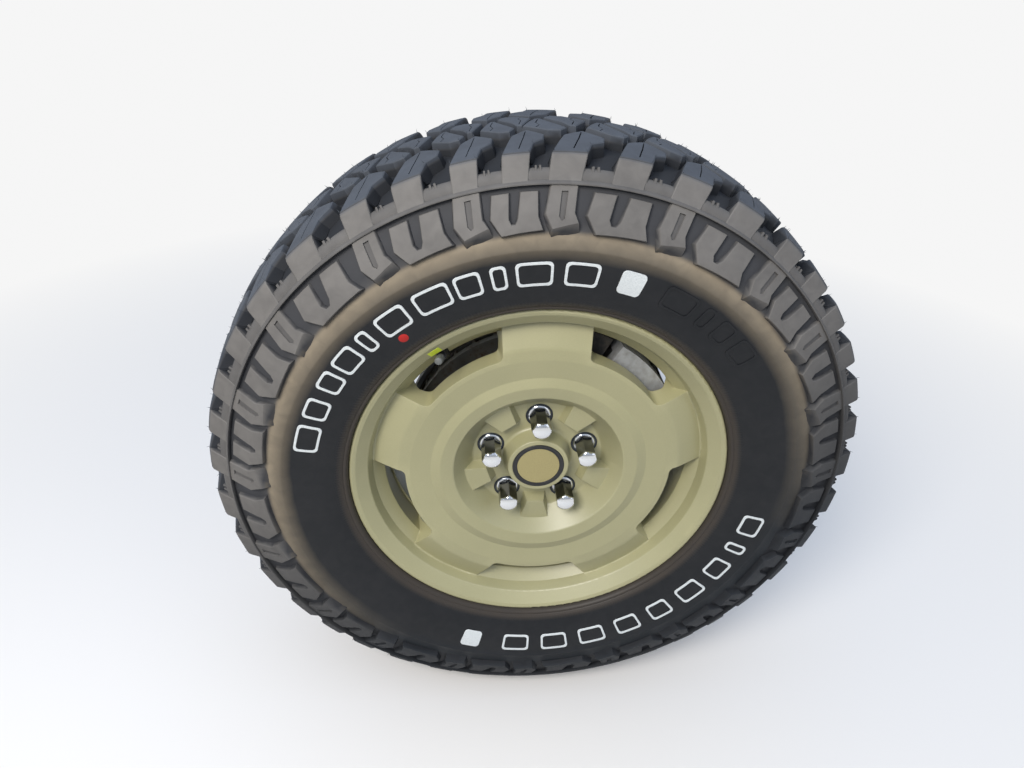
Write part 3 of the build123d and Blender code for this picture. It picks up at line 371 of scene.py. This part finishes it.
def press(lug, angle, stretch, far):
    """Add one lug to the tread; a far one is turned half round about the tyre's middle."""
    points, triangles = lug
    if far:
        points = points * (-1, -1, 1) + (far_shift, 2 * half_run, 0)
    tread_faces.append(triangles + sum(map(len, tread_points)))
    tread_points.append(on_tyre(points, angle, stretch))
    tread_relief.append(np.clip(-points[:, 2] / relief_height - relief_start, 0, 1))


# each lug's mark: angle, stretch, side lug under it
lug_marks = []
angle = first_pair
for step in pair_steps:
    stretch = step / 2 / drawn_pitch
    lug_marks += [(angle, stretch, narrow_side_lug), (angle + step / 2, stretch, wide_side_lug)]
    angle += step
for angle, stretch, side_lug in lug_marks:
    for far in (False, True):
        for lug in (shoulder_face, shoulder_top, middle_block, groove_tie, side_lug):
            press(lug, angle, 1 if lug is narrow_side_lug else stretch, far)

# vent hairs: thin rubber bristles left by the mould along the lugs' edges
hair_random = random.Random(7)
hair_roots = [
    (-9, 30), (17, 30), (2.4, 71), (18, 87), (34, 72),
    (22, 51), (-27, 104), (0, 90), (6, 98), (-12, 132)]
hair_radius, hair_sink, hair_limit, hair_share = 0.4, 0.4, 0.4085, 0.8
hair_points, hair_faces = [], []


def grow_hair(root_turn, run, angle, stretch, far):
    """One bristle; left out where it would reach past the tyre's own width or height."""
    if far:
        root_turn, run = -root_turn + far_shift, 2 * half_run - run
    lean = [hair_random.uniform(-1.2, 1.2) for _ in range(2)]
    length = hair_random.uniform(2.2, 4.2)
    ring = [
        (root_turn + hair_radius * math.cos(t), run + hair_radius * math.sin(t), -hair_sink)
        for t in (0, 2.1, 4.2)]
    wire = on_tyre(ring + [(root_turn + lean[0], run + lean[1], length)], angle, stretch)
    if np.abs(wire[:, [0, 2]]).max() > hair_limit:
        return
    start = len(hair_points)
    hair_points.extend(wire.tolist())
    hair_faces.extend([(start + a, start + b, start + 3) for a, b in ((0, 1), (1, 2), (2, 0))])


for angle, stretch, side_lug in lug_marks:
    for root_turn, run in hair_roots:
        for far in (False, True):
            if hair_random.random() < hair_share:
                wander = hair_random.uniform(-1, 1)
                grow_hair(root_turn + wander, run, angle, stretch, far)

# carcass section, columns: radius, depth; near half from the bead to the tread's middle
carcass_table = np.array([
    (219.6, 34), (219.6, 16), (224, 12), (235.9, 11.3), (235.9, 1.2), (237, -1), (238.5, -3.6),
    (240, -4.2), (241.5, -3.9), (243, -5.6), (250, -9), (260, -12.3), (271, -15), (285, -17.2),
    (300, -18.5), (309.8, -19), (311, -19.5), (312.8, -19.4), (314, -18.8), (320, -17.9),
    (326, -16.6), (331, -15.4), (340, -12.6), (350, -9.6), (360, -5), (367, -1.8), (372.6, 0.2),
    (373.6, -4.6), (374.4, -6), (375.6, -5.8), (376.6, -4.2), (377.4, 0.9), (380, 1.8),
    (383.5, 3.6), (386, 6.8), (386.6, 10), (385, 13.5), (384.6, 18), (386.5, 26), (389.5, 45),
    (392, 70), (393.6, 92), (394.3, tyre_middle)])
# rows of the section that belong to the sidewall
wall_rows = 36


def wheel_point(turn, radius, depth):
    """Point at a turn clockwise from the top; radius and depth are in mm, the point in metres."""
    return (radius * math.sin(turn) / 1000, depth / 1000 + lip_y, radius * math.cos(turn) / 1000)


far_half = [(r, 2 * tyre_middle - d) for r, d in carcass_table[-2::-1]]
carcass_line = np.vstack([carcass_table, far_half])
sides = 360
ring_angles = np.radians(np.arange(sides) * 360 / sides)
carcass_points = np.array([wheel_point(a, r, d) for r, d in carcass_line for a in ring_angles])


def ring_faces(rows, around, start=0):
    """Four-sided faces between neighbouring closed rings of as many points each."""
    return [
        (start + row * around + k, start + row * around + (k + 1) % around,
         start + (row + 1) * around + (k + 1) % around, start + (row + 1) * around + k)
        for row in range(rows - 1) for k in range(around)]


carcass_faces = ring_faces(len(carcass_line), sides)

# moulded bars on the sidewall, columns: first and last angle in degrees, clockwise from the top
pale_bars = [
    (-77.9, -70.4), (-68.3, -62.8), (-60.0, -55.0), (-53.5, -47.3), (-45.5, -42.4), (-40.0, -32.7),
    (-30.6, -22.5), (-21.4, -15.7), (-13.8, -10.4), (-8.6, -0.8), (1.5, 8.8),
    (100.5, 107.0), (110.5, 113.5), (117.0, 123.5), (127.0, 134.5), (138.0, 144.5), (148.0, 155.0),
    (158.5, 166.0), (169.5, 177.0), (180.5, 188.0)]
pale_plates = [(13.2, 18.6), (194.5, 199.8)]
dark_bars = [(23.5, 31.5), (33.5, 36.5), (38.5, 43.0), (45.0, 51.0)]
bar_inner, bar_outer, bar_corner = 271.5, 299.5, 5.0
bar_line, bar_slope, bar_rise, bar_sink = 3.0, 0.1, 0.9, 0.6
plate_edge, plate_inside = 0.97, 0.5


def wall_point(turn, radius, rise):
    """Point on the near sidewall, raised by some millimetres."""
    return wheel_point(turn, radius, np.interp(radius, *carcass_table[:wall_rows].T) - rise)


def rounded_cell(first, last, pieces=4):
    """Outline of a round-cornered cell on the sidewall, as (turn, radius) pairs, clockwise."""
    middle = (bar_inner + bar_outer) / 2
    half_wide = math.radians(last - first) / 2 * middle
    half_high = (bar_outer - bar_inner) / 2
    corner = min(bar_corner, half_wide * 0.9, half_high * 0.9)
    line = []
    for quarter, (sx, sy) in enumerate([(1, 1), (1, -1), (-1, -1), (-1, 1)]):
        for k in range(pieces + 1):
            bend = math.radians(90 * (quarter + k / pieces))
            x = sx * (half_wide - corner) + corner * math.sin(bend)
            y = sy * (half_high - corner) + corner * math.cos(bend)
            line.append((math.radians((first + last) / 2) + x / middle, middle + y))
    dense = []
    for (t0, r0), (t1, r1) in zip(line, line[1:] + line[:1]):
        cuts = max(1, int(abs(t1 - t0) * middle / 3 + abs(r1 - r0) / 6))
        dense += [(t0 + (t1 - t0) * k / cuts, r0 + (r1 - r0) * k / cuts) for k in range(cuts)]
    return dense


def drawn_in(line, keep_turn, keep_radius):
    """The outline shrunk about its middle to a share of its width and of its height."""
    centre = np.mean(line, axis=0)
    return [
        (centre[0] + (t - centre[0]) * keep_turn, centre[1] + (r - centre[1]) * keep_radius)
        for t, r in line]


def moulded_bars(cells, hollow):
    """Raised outline of each cell, or a raised plate where hollow is False."""
    points, faces = [], []
    for first, last in cells:
        base = rounded_cell(first, last)
        if hollow:
            keep_turn = 1 - bar_line / (math.radians(last - first) / 2 * np.mean(base, axis=0)[1])
            keep_radius = 1 - bar_line / ((bar_outer - bar_inner) / 2)
            outer = drawn_in(
                base, 1 - bar_slope * (1 - keep_turn), 1 - bar_slope * (1 - keep_radius))
            inner = drawn_in(base, keep_turn, keep_radius)
            loops = [(base, -bar_sink), (outer, bar_rise), (inner, bar_rise), (inner, -bar_sink)]
        else:
            edge, inside = (drawn_in(base, keep, keep) for keep in (plate_edge, plate_inside))
            loops = [(base, -bar_sink), (edge, bar_rise), (inside, bar_rise)]
        start, around = len(points), len(base)
        for line, rise in loops:
            points += [wall_point(t, r, rise) for t, r in line]
        faces += ring_faces(len(loops), around, start)
        if not hollow:
            faces.append(tuple(start + (len(loops) - 1) * around + k for k in range(around)))
    return points, faces


def store_relief(piece, values):
    """Keep how far each point lies below the moulded tops, for the painted shade in the rubber's
    hollows.
    """
    layer = piece.data.attributes.new("relief", "FLOAT", "POINT")
    layer.data.foreach_set("value", np.asarray(values, np.float32))


def feed_bump(shader, strength, distance, height, **more):
    """Link a bump to the shader's normal; distance is the depth of a full step in metres."""
    sockets = {"Strength": strength, "Distance": distance, "Height": height, **more}
    feed(shader, "Normal", height.node("Bump", {}, sockets))


# rubber: black round the bars, a dry tan bloom over the bulge, greyer side lugs and a tread tinted
# bluish as a painted sky reflection; all of it paler high on the wheel, with painted light and
# dust, and darker low on it, with painted shade and less dust; hollows and groove floors get
# painted shade
band_black, bead_brown = colour(26, 28, 31), colour(64, 58, 52)
shaded_clean_wall, lit_dusty_wall = colour(38, 42, 46), colour(150, 138, 119)
shaded_clean_side_lug, lit_dusty_side_lug = colour(42, 45, 49), colour(111, 110, 110)
shaded_sky_tinted_tread, lit_dusty_sky_tinted_tread = colour(60, 63, 68), colour(82, 87, 95)
painted_hollow_shade_low, painted_hollow_shade_high = colour(26, 28, 32), colour(54, 56, 61)
groove_shade_grey, grime_grey = colour(46, 48, 52), colour(50, 50, 52)
middle_distance, base_half_width = -lip_y - tyre_middle / 1000, 0.0925
rubber, rubber_shader, rubber_wires = new_finish("tyre_rubber", specular_ior_level=0.22)
place = rubber_wires.node("TexCoord", {}, {}, 3)
fine = rubber_wires.noise(900.0, 3.0, Vector=place, Roughness=0.6)
blotch = rubber_wires.noise(9.0, 5.0, Vector=place, Roughness=0.62)
streak = rubber_wires.noise(60.0, 4.0, Vector=place, Distortion=0.6)
x_place, y_place, z_place = (rubber_wires.node("SeparateXYZ", {}, {0: place}, k) for k in (0, 1, 2))
radius_here = (x_place * x_place + z_place * z_place) ** 0.5
turn_here = x_place.math("ARCTAN2", x_place, z_place)
relief = rubber_wires.node("Attribute", {"attribute_name": "relief"}, {}, 2)
uneven_radius = radius_here + (blotch - 0.5) * 0.012
bloom = uneven_radius.between(0.300, 0.324)
# paler and dustier towards the top, shaded towards the bottom: painted light from above, mixed with
# dust
dust_and_top_light = (z_place * 0.93 - x_place * 0.37 + (blotch - 0.5) * 0.12).between(-0.19, 0.12)
bead_part = 1 - radius_here.between(0.244, 0.250)
side_lug_part = radius_here.between(0.328, 0.332)
tread_part = radius_here.between(0.3985, 0.4015)
from_middle = (y_place + middle_distance).math("ABSOLUTE", y_place + middle_distance)
# the groove floor between the tread's lugs is darkened: painted shade
base_part = (from_middle < base_half_width) * radius_here.between(0.380, 0.381)
tone = bloom.mixed(band_black, dust_and_top_light.mixed(shaded_clean_wall, lit_dusty_wall))
tone = bead_part.mixed(tone, bead_brown)
tone = (side_lug_part * 0.85).mixed(tone, dust_and_top_light.mixed(shaded_clean_side_lug, lit_dusty_side_lug))
# tread tops tinted bluish: painted reflection of the sky, paler high on the wheel
tone = tread_part.mixed(tone, dust_and_top_light.mixed(shaded_sky_tinted_tread, lit_dusty_sky_tinted_tread))
# hollows between the lugs are darkened: painted shade
tone = (relief * 0.9).mixed(tone, dust_and_top_light.mixed(painted_hollow_shade_low, painted_hollow_shade_high))
tone = (base_part * (1 - tread_part)).mixed(tone, groove_shade_grey)
grime = (streak.between(0.35, 0.75) * 0.5 + blotch.between(0.35, 0.7) * 0.5) * 0.42
feed(rubber_shader, "Base Color", grime.mixed(tone, grime_grey))
feed(rubber_shader, "Roughness", 0.38 + bloom * 0.2 + blotch * 0.12 + tread_part * 0.06)

# fine radial teeth in a narrow ring beside the rim
teeth_round = 420.0
bead_ring = radius_here.between(0.2435, 0.2445) * (1 - radius_here.between(0.2505, 0.2515))
bead_teeth = bead_ring * turn_here.math("SINE", turn_here * teeth_round).between(-0.2, 0.2)
feed_bump(rubber_shader, 0.3, 0.0006, fine * 0.4 + streak * 0.8 + bead_teeth * 0.8)

tread = mesh_object(
    "tyre_tread", np.vstack(tread_points).tolist(), np.vstack(tread_faces).tolist(), rubber, 28)
store_relief(tread, np.concatenate(tread_relief))
carcass = mesh_object("tyre_carcass", carcass_points.tolist(), carcass_faces, rubber, 40)
carcass_radius = np.hypot(carcass_points[:, 0], carcass_points[:, 2])
# the carcass between the side lugs counts as a hollow and gets the painted shade
hollow_radii, hollow_relief = (0.327, 0.332, 0.3725, 0.3735), (0, 1, 1, 0.3)
store_relief(carcass, np.interp(carcass_radius, hollow_radii, hollow_relief))
dark_moulding = mesh_object("tyre_dark_bars", *moulded_bars(dark_bars, True), rubber, 40)

white_rubber, white_shader, white_wires = new_finish("white_rubber", roughness=0.6)
grime = white_wires.noise(120.0, 5.0)
feed(white_shader, "Base Color", grime.between(0.35, 0.75).mixed(
    colour(236, 240, 240), colour(196, 202, 204)))
feed_bump(white_shader, 0.15, 0.0004, grime)
pale_moulding = mesh_object("tyre_pale_bars", *moulded_bars(pale_bars, True), white_rubber, 40)
pale_plate = mesh_object("tyre_pale_plates", *moulded_bars(pale_plates, False), white_rubber, 40)
vent_hairs = mesh_object("tyre_vent_hairs", hair_points, hair_faces, rubber, 60)
for piece in (tread, carcass, vent_hairs, dark_moulding, pale_moulding, pale_plate):
    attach(piece, "wheel")
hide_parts("tyre")

red_paint, red_shader, red_wires = new_finish("red_dot_paint", roughness=0.6)
red_noise = red_wires.noise(900.0, 3.0)
feed(red_shader, "Base Color", red_noise.between(0.35, 0.7).mixed(
    colour(196, 40, 36), colour(168, 34, 32)))
dot_turn, dot_radius, dot_size, dot_sides, dot_top = math.radians(-37.6), 262.0, 5.5, 24, 0.45
dot_points = [wall_point(dot_turn, dot_radius, dot_top)]
for size, rise in ((0.85, 0.42), (1.0, 0.1)):
    for k in range(dot_sides):
        bend = math.radians(360 / dot_sides * k)
        dot_points.append(wall_point(
            dot_turn + dot_size * size * math.sin(bend) / dot_radius,
            dot_radius + dot_size * size * math.cos(bend), rise))
dot_faces = [(0, 1 + k, 1 + (k + 1) % dot_sides) for k in range(dot_sides)]
dot_faces += [face[::-1] for face in ring_faces(2, dot_sides, 1)]
red_dot = mesh_object("balance_dot", dot_points, dot_faces, red_paint)
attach(red_dot, "wheel")

# ---- Wheel rim ----
# Cast wheel with a domed disc and five windows, sprayed in one sage green coat. A blank yellow tag
# is stuck to the inside of its flange, near the valve.
green_coat, coat_shader, coat_wires = new_finish(
    "wheel_green_coat", metallic=0.0, specular_ior_level=0.7,
    coat_weight=0.5, coat_roughness=0.4, coat_ior=1.7)
spot = coat_wires.node("TexCoord", {}, {}, 3)
orange_peel = coat_wires.noise(420.0, 2.0, Vector=spot)
drift = coat_wires.noise(7.0, 4.0, Vector=spot)
specks = coat_wires.noise(1500.0, 2.0, Vector=spot)
corners = coat_wires.node("NewGeometry", {}, {}, 7)
# convex edges are painted paler: a painted highlight along them
edge_highlight = corners.between(0.52, 0.6) * 0.35
tone_and_edge_highlight = (drift.between(0.3, 0.7) * 0.5 + specks.between(0.4, 0.7) * 0.35 + edge_highlight).between(0, 1)
sage_green, paler_green = colour(152, 148, 110), colour(172, 167, 126)
feed(coat_shader, "Base Color", tone_and_edge_highlight.mixed(sage_green, paler_green))
feed(coat_shader, "Roughness", 0.42 + orange_peel * 0.12 + drift * 0.08)
rounded_edge = coat_wires.node("Bevel", {"samples": 6}, {"Radius": 0.0016})
feed_bump(coat_shader, 0.12, 0.0004, orange_peel, Normal=rounded_edge)


def dress(names, material):
    """Give solids that stay as they are their finish."""
    for name in names:
        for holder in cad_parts[name].material_slots:
            holder.material = material


dress(["wheel_rim"], green_coat)

tag_paint, tag_shader, tag_wires = new_finish("tag_paint", roughness=0.45)
tag_noise = tag_wires.noise(260.0, 4.0)
feed(tag_shader, "Base Color", tag_noise.between(0.35, 0.7).mixed(
    colour(232, 248, 70), colour(208, 222, 66)))
tag_turn, tag_radius, tag_depth = math.radians(-35.7), 219.5, 9.2
tag_half_length, tag_half_height, tag_thickness = 7.5, 4.5, 0.5
# the flange's slope under the tag, as radius and depth for each mm of its height
slope_out, slope_in = 0.82, 0.57
tag_points = []
for rise in (0.0, tag_thickness):
    for along, aloft in ((-1, -1), (1, -1), (1, 1), (-1, 1)):
        lift = aloft * tag_half_height
        tag_points.append(wheel_point(
            tag_turn + along * tag_half_length / tag_radius,
            tag_radius + lift * slope_out - rise * slope_in,
            tag_depth - lift * slope_in - rise * slope_out))
tag_faces = [(4, 5, 6, 7), (0, 1, 5, 4), (1, 2, 6, 5), (2, 3, 7, 6), (3, 0, 4, 7)]
tag = mesh_object("rim_tag", tag_points, tag_faces, tag_paint)
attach(tag, "wheel")

# ---- Wheel nuts and studs ----
# Five chromed steel acorn nuts, each with a dome, six flats and a flange, on studs of rolled steel.
# Each nut pulls the wheel onto the hub and sits in a dark steel seat ring in the wheel's pocket;
# the ring fills the gap round the nut's flange, and its darkness also paints the shade that falls
# there.
chrome, chrome_shader, chrome_wires = new_finish("chrome", metallic=1.0)
wipe = chrome_wires.noise(160.0, 4.0)
chrome_place = chrome_wires.node("TexCoord", {}, {}, 3)
chrome_depth = chrome_wires.node("SeparateXYZ", {}, {0: chrome_place}, 1) * 1000 - lip_y * 1000
nut_circle, nut_seat_depth, nut_flange, hex_half = 63.5, 52.0, 3.2, 11.0
nut_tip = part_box("wheel_nut_1")[0].y * 1000 - lip_y * 1000
below_dome = chrome_depth.between(nut_tip + 5.2, nut_tip + 6.4)
above_flange = 1 - chrome_depth.between(nut_seat_depth - 3.4, nut_seat_depth - 3.1)
bright_chrome = wipe.between(0.3, 0.8).mixed(colour(232, 234, 236), colour(206, 208, 210))
flank_grey = colour(104, 106, 110)
flank = below_dome * above_flange * 0.85
feed(chrome_shader, "Base Color", flank.mixed(bright_chrome, flank_grey))
feed(chrome_shader, "Roughness", 0.1 + wipe * 0.14)
feed_bump(chrome_shader, 0.05, 0.0002, wipe)


def round_mesh(name, profile, material, sides, squeeze=None, place=None, smooth_angle=32):
    """Turned piece: profile is (radius, depth) pairs in mm, closed where it starts at the axis.

    squeeze(turn, radius, depth) gives each point's own radius.
    """
    points = []
    for radius, depth in profile:
        for k in range(sides):
            turn = 2 * math.pi * k / sides
            reach = squeeze(turn, radius, depth) if squeeze else radius
            points.append(wheel_point(turn, reach, depth))
    faces = ring_faces(len(profile), sides)
    at_axis = 0.5
    if profile[0][0] < at_axis:
        faces.append(tuple(range(sides))[::-1])
    piece = mesh_object(name, points, faces, material, smooth_angle)
    if place:
        piece.data.transform(place)
    return piece


def hex_limit(turn, radius, depth):
    """Keep a ring inside the nut's six flats above its flange."""
    if depth > nut_seat_depth - nut_flange:
        return radius
    flat = hex_half / math.cos((turn + math.pi / 6) % (math.pi / 3) - math.pi / 6)
    return min(radius, flat)


dome_radius, dome_height, dome_start = 13.0, 6.0, 0.05
dome_steps = [0, 0.12, 0.4, 0.8, 1.3, 1.9, 2.6, 3.4, 4.3, 5.2, dome_height]
nut_profile = []
for step in dome_steps:
    dome_reach = dome_radius * math.sqrt(max(0, 1 - (1 - step / dome_height) ** 2))
    nut_profile.append((max(dome_reach, dome_start), nut_tip + step))
nut_profile.append((13.2, nut_tip + 9))
# body and flange, columns: radius, height over the seat
nut_foot = [(13.2, 3.6), (12.9, 3.1), (13.4, 2.9), (14.1, 2.3), (14.4, 1.4), (14.4, 0), (11.5, -3)]
nut_profile += [(radius, nut_seat_depth - height) for radius, height in nut_foot]
seat_profile = [(14.5, 51.4), (15.2, 51.2), (16.6, 51.0), (17.15, 50.4), (17.25, 49.9)]
# a dark ring in the gap round each nut's flange: dark steel, and painted shade of the gap
seat_steel_and_gap_shade, seat_shader, seat_wires = new_finish("seat_steel_and_gap_shade", metallic=0.7)
film = seat_wires.noise(420.0, 4.0)
feed(seat_shader, "Base Color", film.between(0.3, 0.7).mixed(
    colour(42, 48, 56), colour(70, 74, 78)))
feed(seat_shader, "Roughness", 0.3 + film * 0.2)
for k in range(5):
    bolt = Matrix.Rotation(math.radians(72 * k), 4, "Y")
    bolt @= Matrix.Translation((0, 0, nut_circle / 1000))
    nut = round_mesh(f"chrome_nut_{k + 1}", nut_profile, chrome, 96, hex_limit, bolt, 24)
    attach(nut, "wheel")
    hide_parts(f"wheel_nut_{k + 1}")
    shaded_seat_ring = round_mesh(f"nut_shaded_seat_ring_{k + 1}", seat_profile, seat_steel_and_gap_shade, 64, None, bolt)
    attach(shaded_seat_ring, "wheel")

bare_steel, steel_shader, steel_wires = new_finish("bare_steel", metallic=0.85)
stain = steel_wires.noise(55.0, 6.0, Roughness=0.65)
scratch = steel_wires.noise(900.0, 2.0)
feed(steel_shader, "Base Color", stain.between(0.4, 0.75).mixed(
    colour(150, 150, 148), colour(104, 96, 88)))
feed(steel_shader, "Roughness", 0.34 + stain * 0.3)
feed_bump(steel_shader, 0.15, 0.0003, scratch)
dress([f"wheel_stud_{k}" for k in range(1, 6)], bare_steel)

# ---- Centre cap ----
# A black plastic ring with a rounded lip clips into the wheel's centre bore. It holds a plain disc
# painted in bronze green, without a mark.
black_mould, mould_shader, mould_wires = new_finish("black_moulding", specular_ior_level=0.45)
leather = mould_wires.noise(700.0, 3.0)
dusting = mould_wires.noise(24.0, 5.0)
feed(mould_shader, "Base Color", dusting.between(0.35, 0.75).mixed(
    colour(22, 23, 25), colour(40, 40, 41)))
feed(mould_shader, "Roughness", 0.26 + dusting * 0.2)
feed_bump(mould_shader, 0.2, 0.0003, leather)
ring_profile = [
    (33.0, 30), (33.0, 27.3), (32.7, 26.75), (32.1, 26.5), (31.2, 26.6), (29.3, 27.3),
    (28.9, 27.25), (28.5, 26.85), (28.0, 26.75), (27.5, 26.95), (27.15, 27.5), (27.1, 30)]
cap_ring = round_mesh("cap_black_ring", ring_profile, black_mould, 128, smooth_angle=50)
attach(cap_ring, "wheel")
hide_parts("cap_ring")

cap_paint, cap_shader, cap_wires = new_finish("cap_bronze_green", metallic=0.25)
flake = cap_wires.noise(1400.0, 2.0)
cloud = cap_wires.noise(38.0, 4.0)
metallic_shade = (flake * 0.4 + cloud * 0.6).between(0.3, 0.7)
feed(cap_shader, "Base Color", metallic_shade.mixed(colour(150, 138, 94), colour(186, 174, 124)))
feed(cap_shader, "Roughness", 0.35 + cloud * 0.15)
feed_bump(cap_shader, 0.1, 0.0002, flake)
dress(["cap_disc"], cap_paint)

# ---- Valve ----
# A snap-in valve: the black rubber stem is pulled through a hole in the wheel and leans out of it,
# and a grey plastic cap with a knurled grip is screwed onto its end.
valve_grey, valve_shader, valve_wires = new_finish("valve_grey", roughness=0.5)
rub = valve_wires.noise(300.0, 4.0)
feed(valve_shader, "Base Color", rub.between(0.35, 0.7).mixed(
    colour(110, 112, 110), colour(84, 86, 86)))
feed_bump(valve_shader, 0.2, 0.0003, rub)
valve_turn, valve_lean, valve_foot = math.radians(-36), math.radians(-15), (0, -0.286, 0.202)
valve_frame = (Matrix.Rotation(valve_turn, 4, "Y") @ Matrix.Translation(valve_foot)
               @ Matrix.Rotation(valve_lean, 4, "X") @ Matrix.Translation((0, -lip_y, 0)))
knurl_profile = [
    (0.05, -35), (2.6, -34.9), (3.7, -34.5), (4.3, -33.8), (4.75, -32.8), (4.8, -26), (4.8, -19.5),
    (4.6, -18.4), (3.8, -18)]
knurl_radius, knurl_depth, knurl_count = 4.5, 0.35, 24


def knurled(turn, radius, depth):
    """Cut grooves along the widest part of the grip."""
    groove = 0.5 - 0.5 * math.cos(knurl_count * turn)
    return radius - knurl_depth * groove if radius > knurl_radius else radius


knurled_cap = round_mesh("valve_knurled_cap", knurl_profile, valve_grey, 96, knurled, valve_frame)
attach(knurled_cap, "wheel")
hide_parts("valve_cap")
dress(["valve_stem"], black_mould)

# ---- Brake disc, hub and bearing ----
# Turned grey iron disc with patches of rust, clamped between the wheel and a forged hub. The hub
# runs in a sealed bearing unit that is bolted to the knuckle, and the shaft's fork turns it.
turned_iron, iron_shader, iron_wires = new_finish("turned_iron", metallic=0.8)
iron_place = iron_wires.node("TexCoord", {}, {}, 3)
iron_x, iron_z = (iron_wires.node("SeparateXYZ", {}, {0: iron_place}, k) for k in (0, 2))
iron_radius = (iron_x * iron_x + iron_z * iron_z) ** 0.5
groove_rate = 9000.0
turning = iron_radius.math("SINE", iron_radius * groove_rate) * 0.5 + 0.5
rust = iron_wires.noise(70.0, 6.0, Vector=iron_place, Roughness=0.7)
feed(iron_shader, "Base Color", rust.between(0.5, 0.72).mixed(
    colour(142, 140, 136), colour(112, 84, 62)))
feed(iron_shader, "Roughness", 0.3 + rust * 0.35)
feed_bump(iron_shader, 0.2, 0.0002, turning * 0.4 + rust * 0.6)
dress(["brake_disc"], turned_iron)
dress(["wheel_hub", "wheel_bearing", "bearing_bolts", "drive_shaft"], bare_steel)

# ---- Caliper, pads and shield ----
# Cast caliper painted silver, floating on two guide pins over pads with bonded friction linings,
# and a shield pressed from sheet and painted the same.
silver_cast, silver_shader, silver_wires = new_finish("caliper_silver", metallic=0.35)
casting = silver_wires.noise(380.0, 4.0)
soot = silver_wires.noise(20.0, 5.0)
feed(silver_shader, "Base Color", soot.between(0.4, 0.75).mixed(
    colour(172, 174, 176), colour(146, 145, 142)))
feed(silver_shader, "Roughness", 0.42 + soot * 0.2)
feed_bump(silver_shader, 0.35, 0.0006, casting)
dress(["caliper_body", "dust_shield"], silver_cast)
dress(["bracket_bolts", "caliper_pistons", "guide_pins", "bleed_screw",
       "outer_pad_plate", "inner_pad_plate"], bare_steel)
dress(["pin_boots"], black_mould)

lining, lining_shader, lining_wires = new_finish("friction_lining", roughness=0.9)
grit = lining_wires.noise(600.0, 5.0)
feed(lining_shader, "Base Color", grit.between(0.4, 0.6).mixed(
    colour(58, 54, 52), colour(104, 92, 80)))
feed_bump(lining_shader, 0.5, 0.0005, grit)
dress(["outer_pad_lining", "inner_pad_lining"], lining)

# ---- Knuckle and axle yoke ----
# Sand-cast iron in satin black paint under a film of road dust. The knuckle carries the caliper's
# bracket and turns on two ball joints in the ends of the yoke.
cast_black, cast_shader, cast_wires = new_finish("cast_black", specular_ior_level=0.4)
sand = cast_wires.noise(450.0, 4.0, Roughness=0.7)
road_dust = cast_wires.noise(14.0, 6.0)
feed(cast_shader, "Base Color", road_dust.between(0.4, 0.75).mixed(
    colour(40, 41, 42), colour(84, 78, 70)))
feed(cast_shader, "Roughness", 0.5 + road_dust * 0.3)
feed_bump(cast_shader, 0.5, 0.0008, sand)
dress(["axle_yoke", "steering_knuckle", "caliper_bracket",
       "upper_ball_joint", "lower_ball_joint"], cast_black)
dress(["upper_ball_stud", "lower_ball_stud", "upper_stud_nut", "lower_stud_nut"], bare_steel)
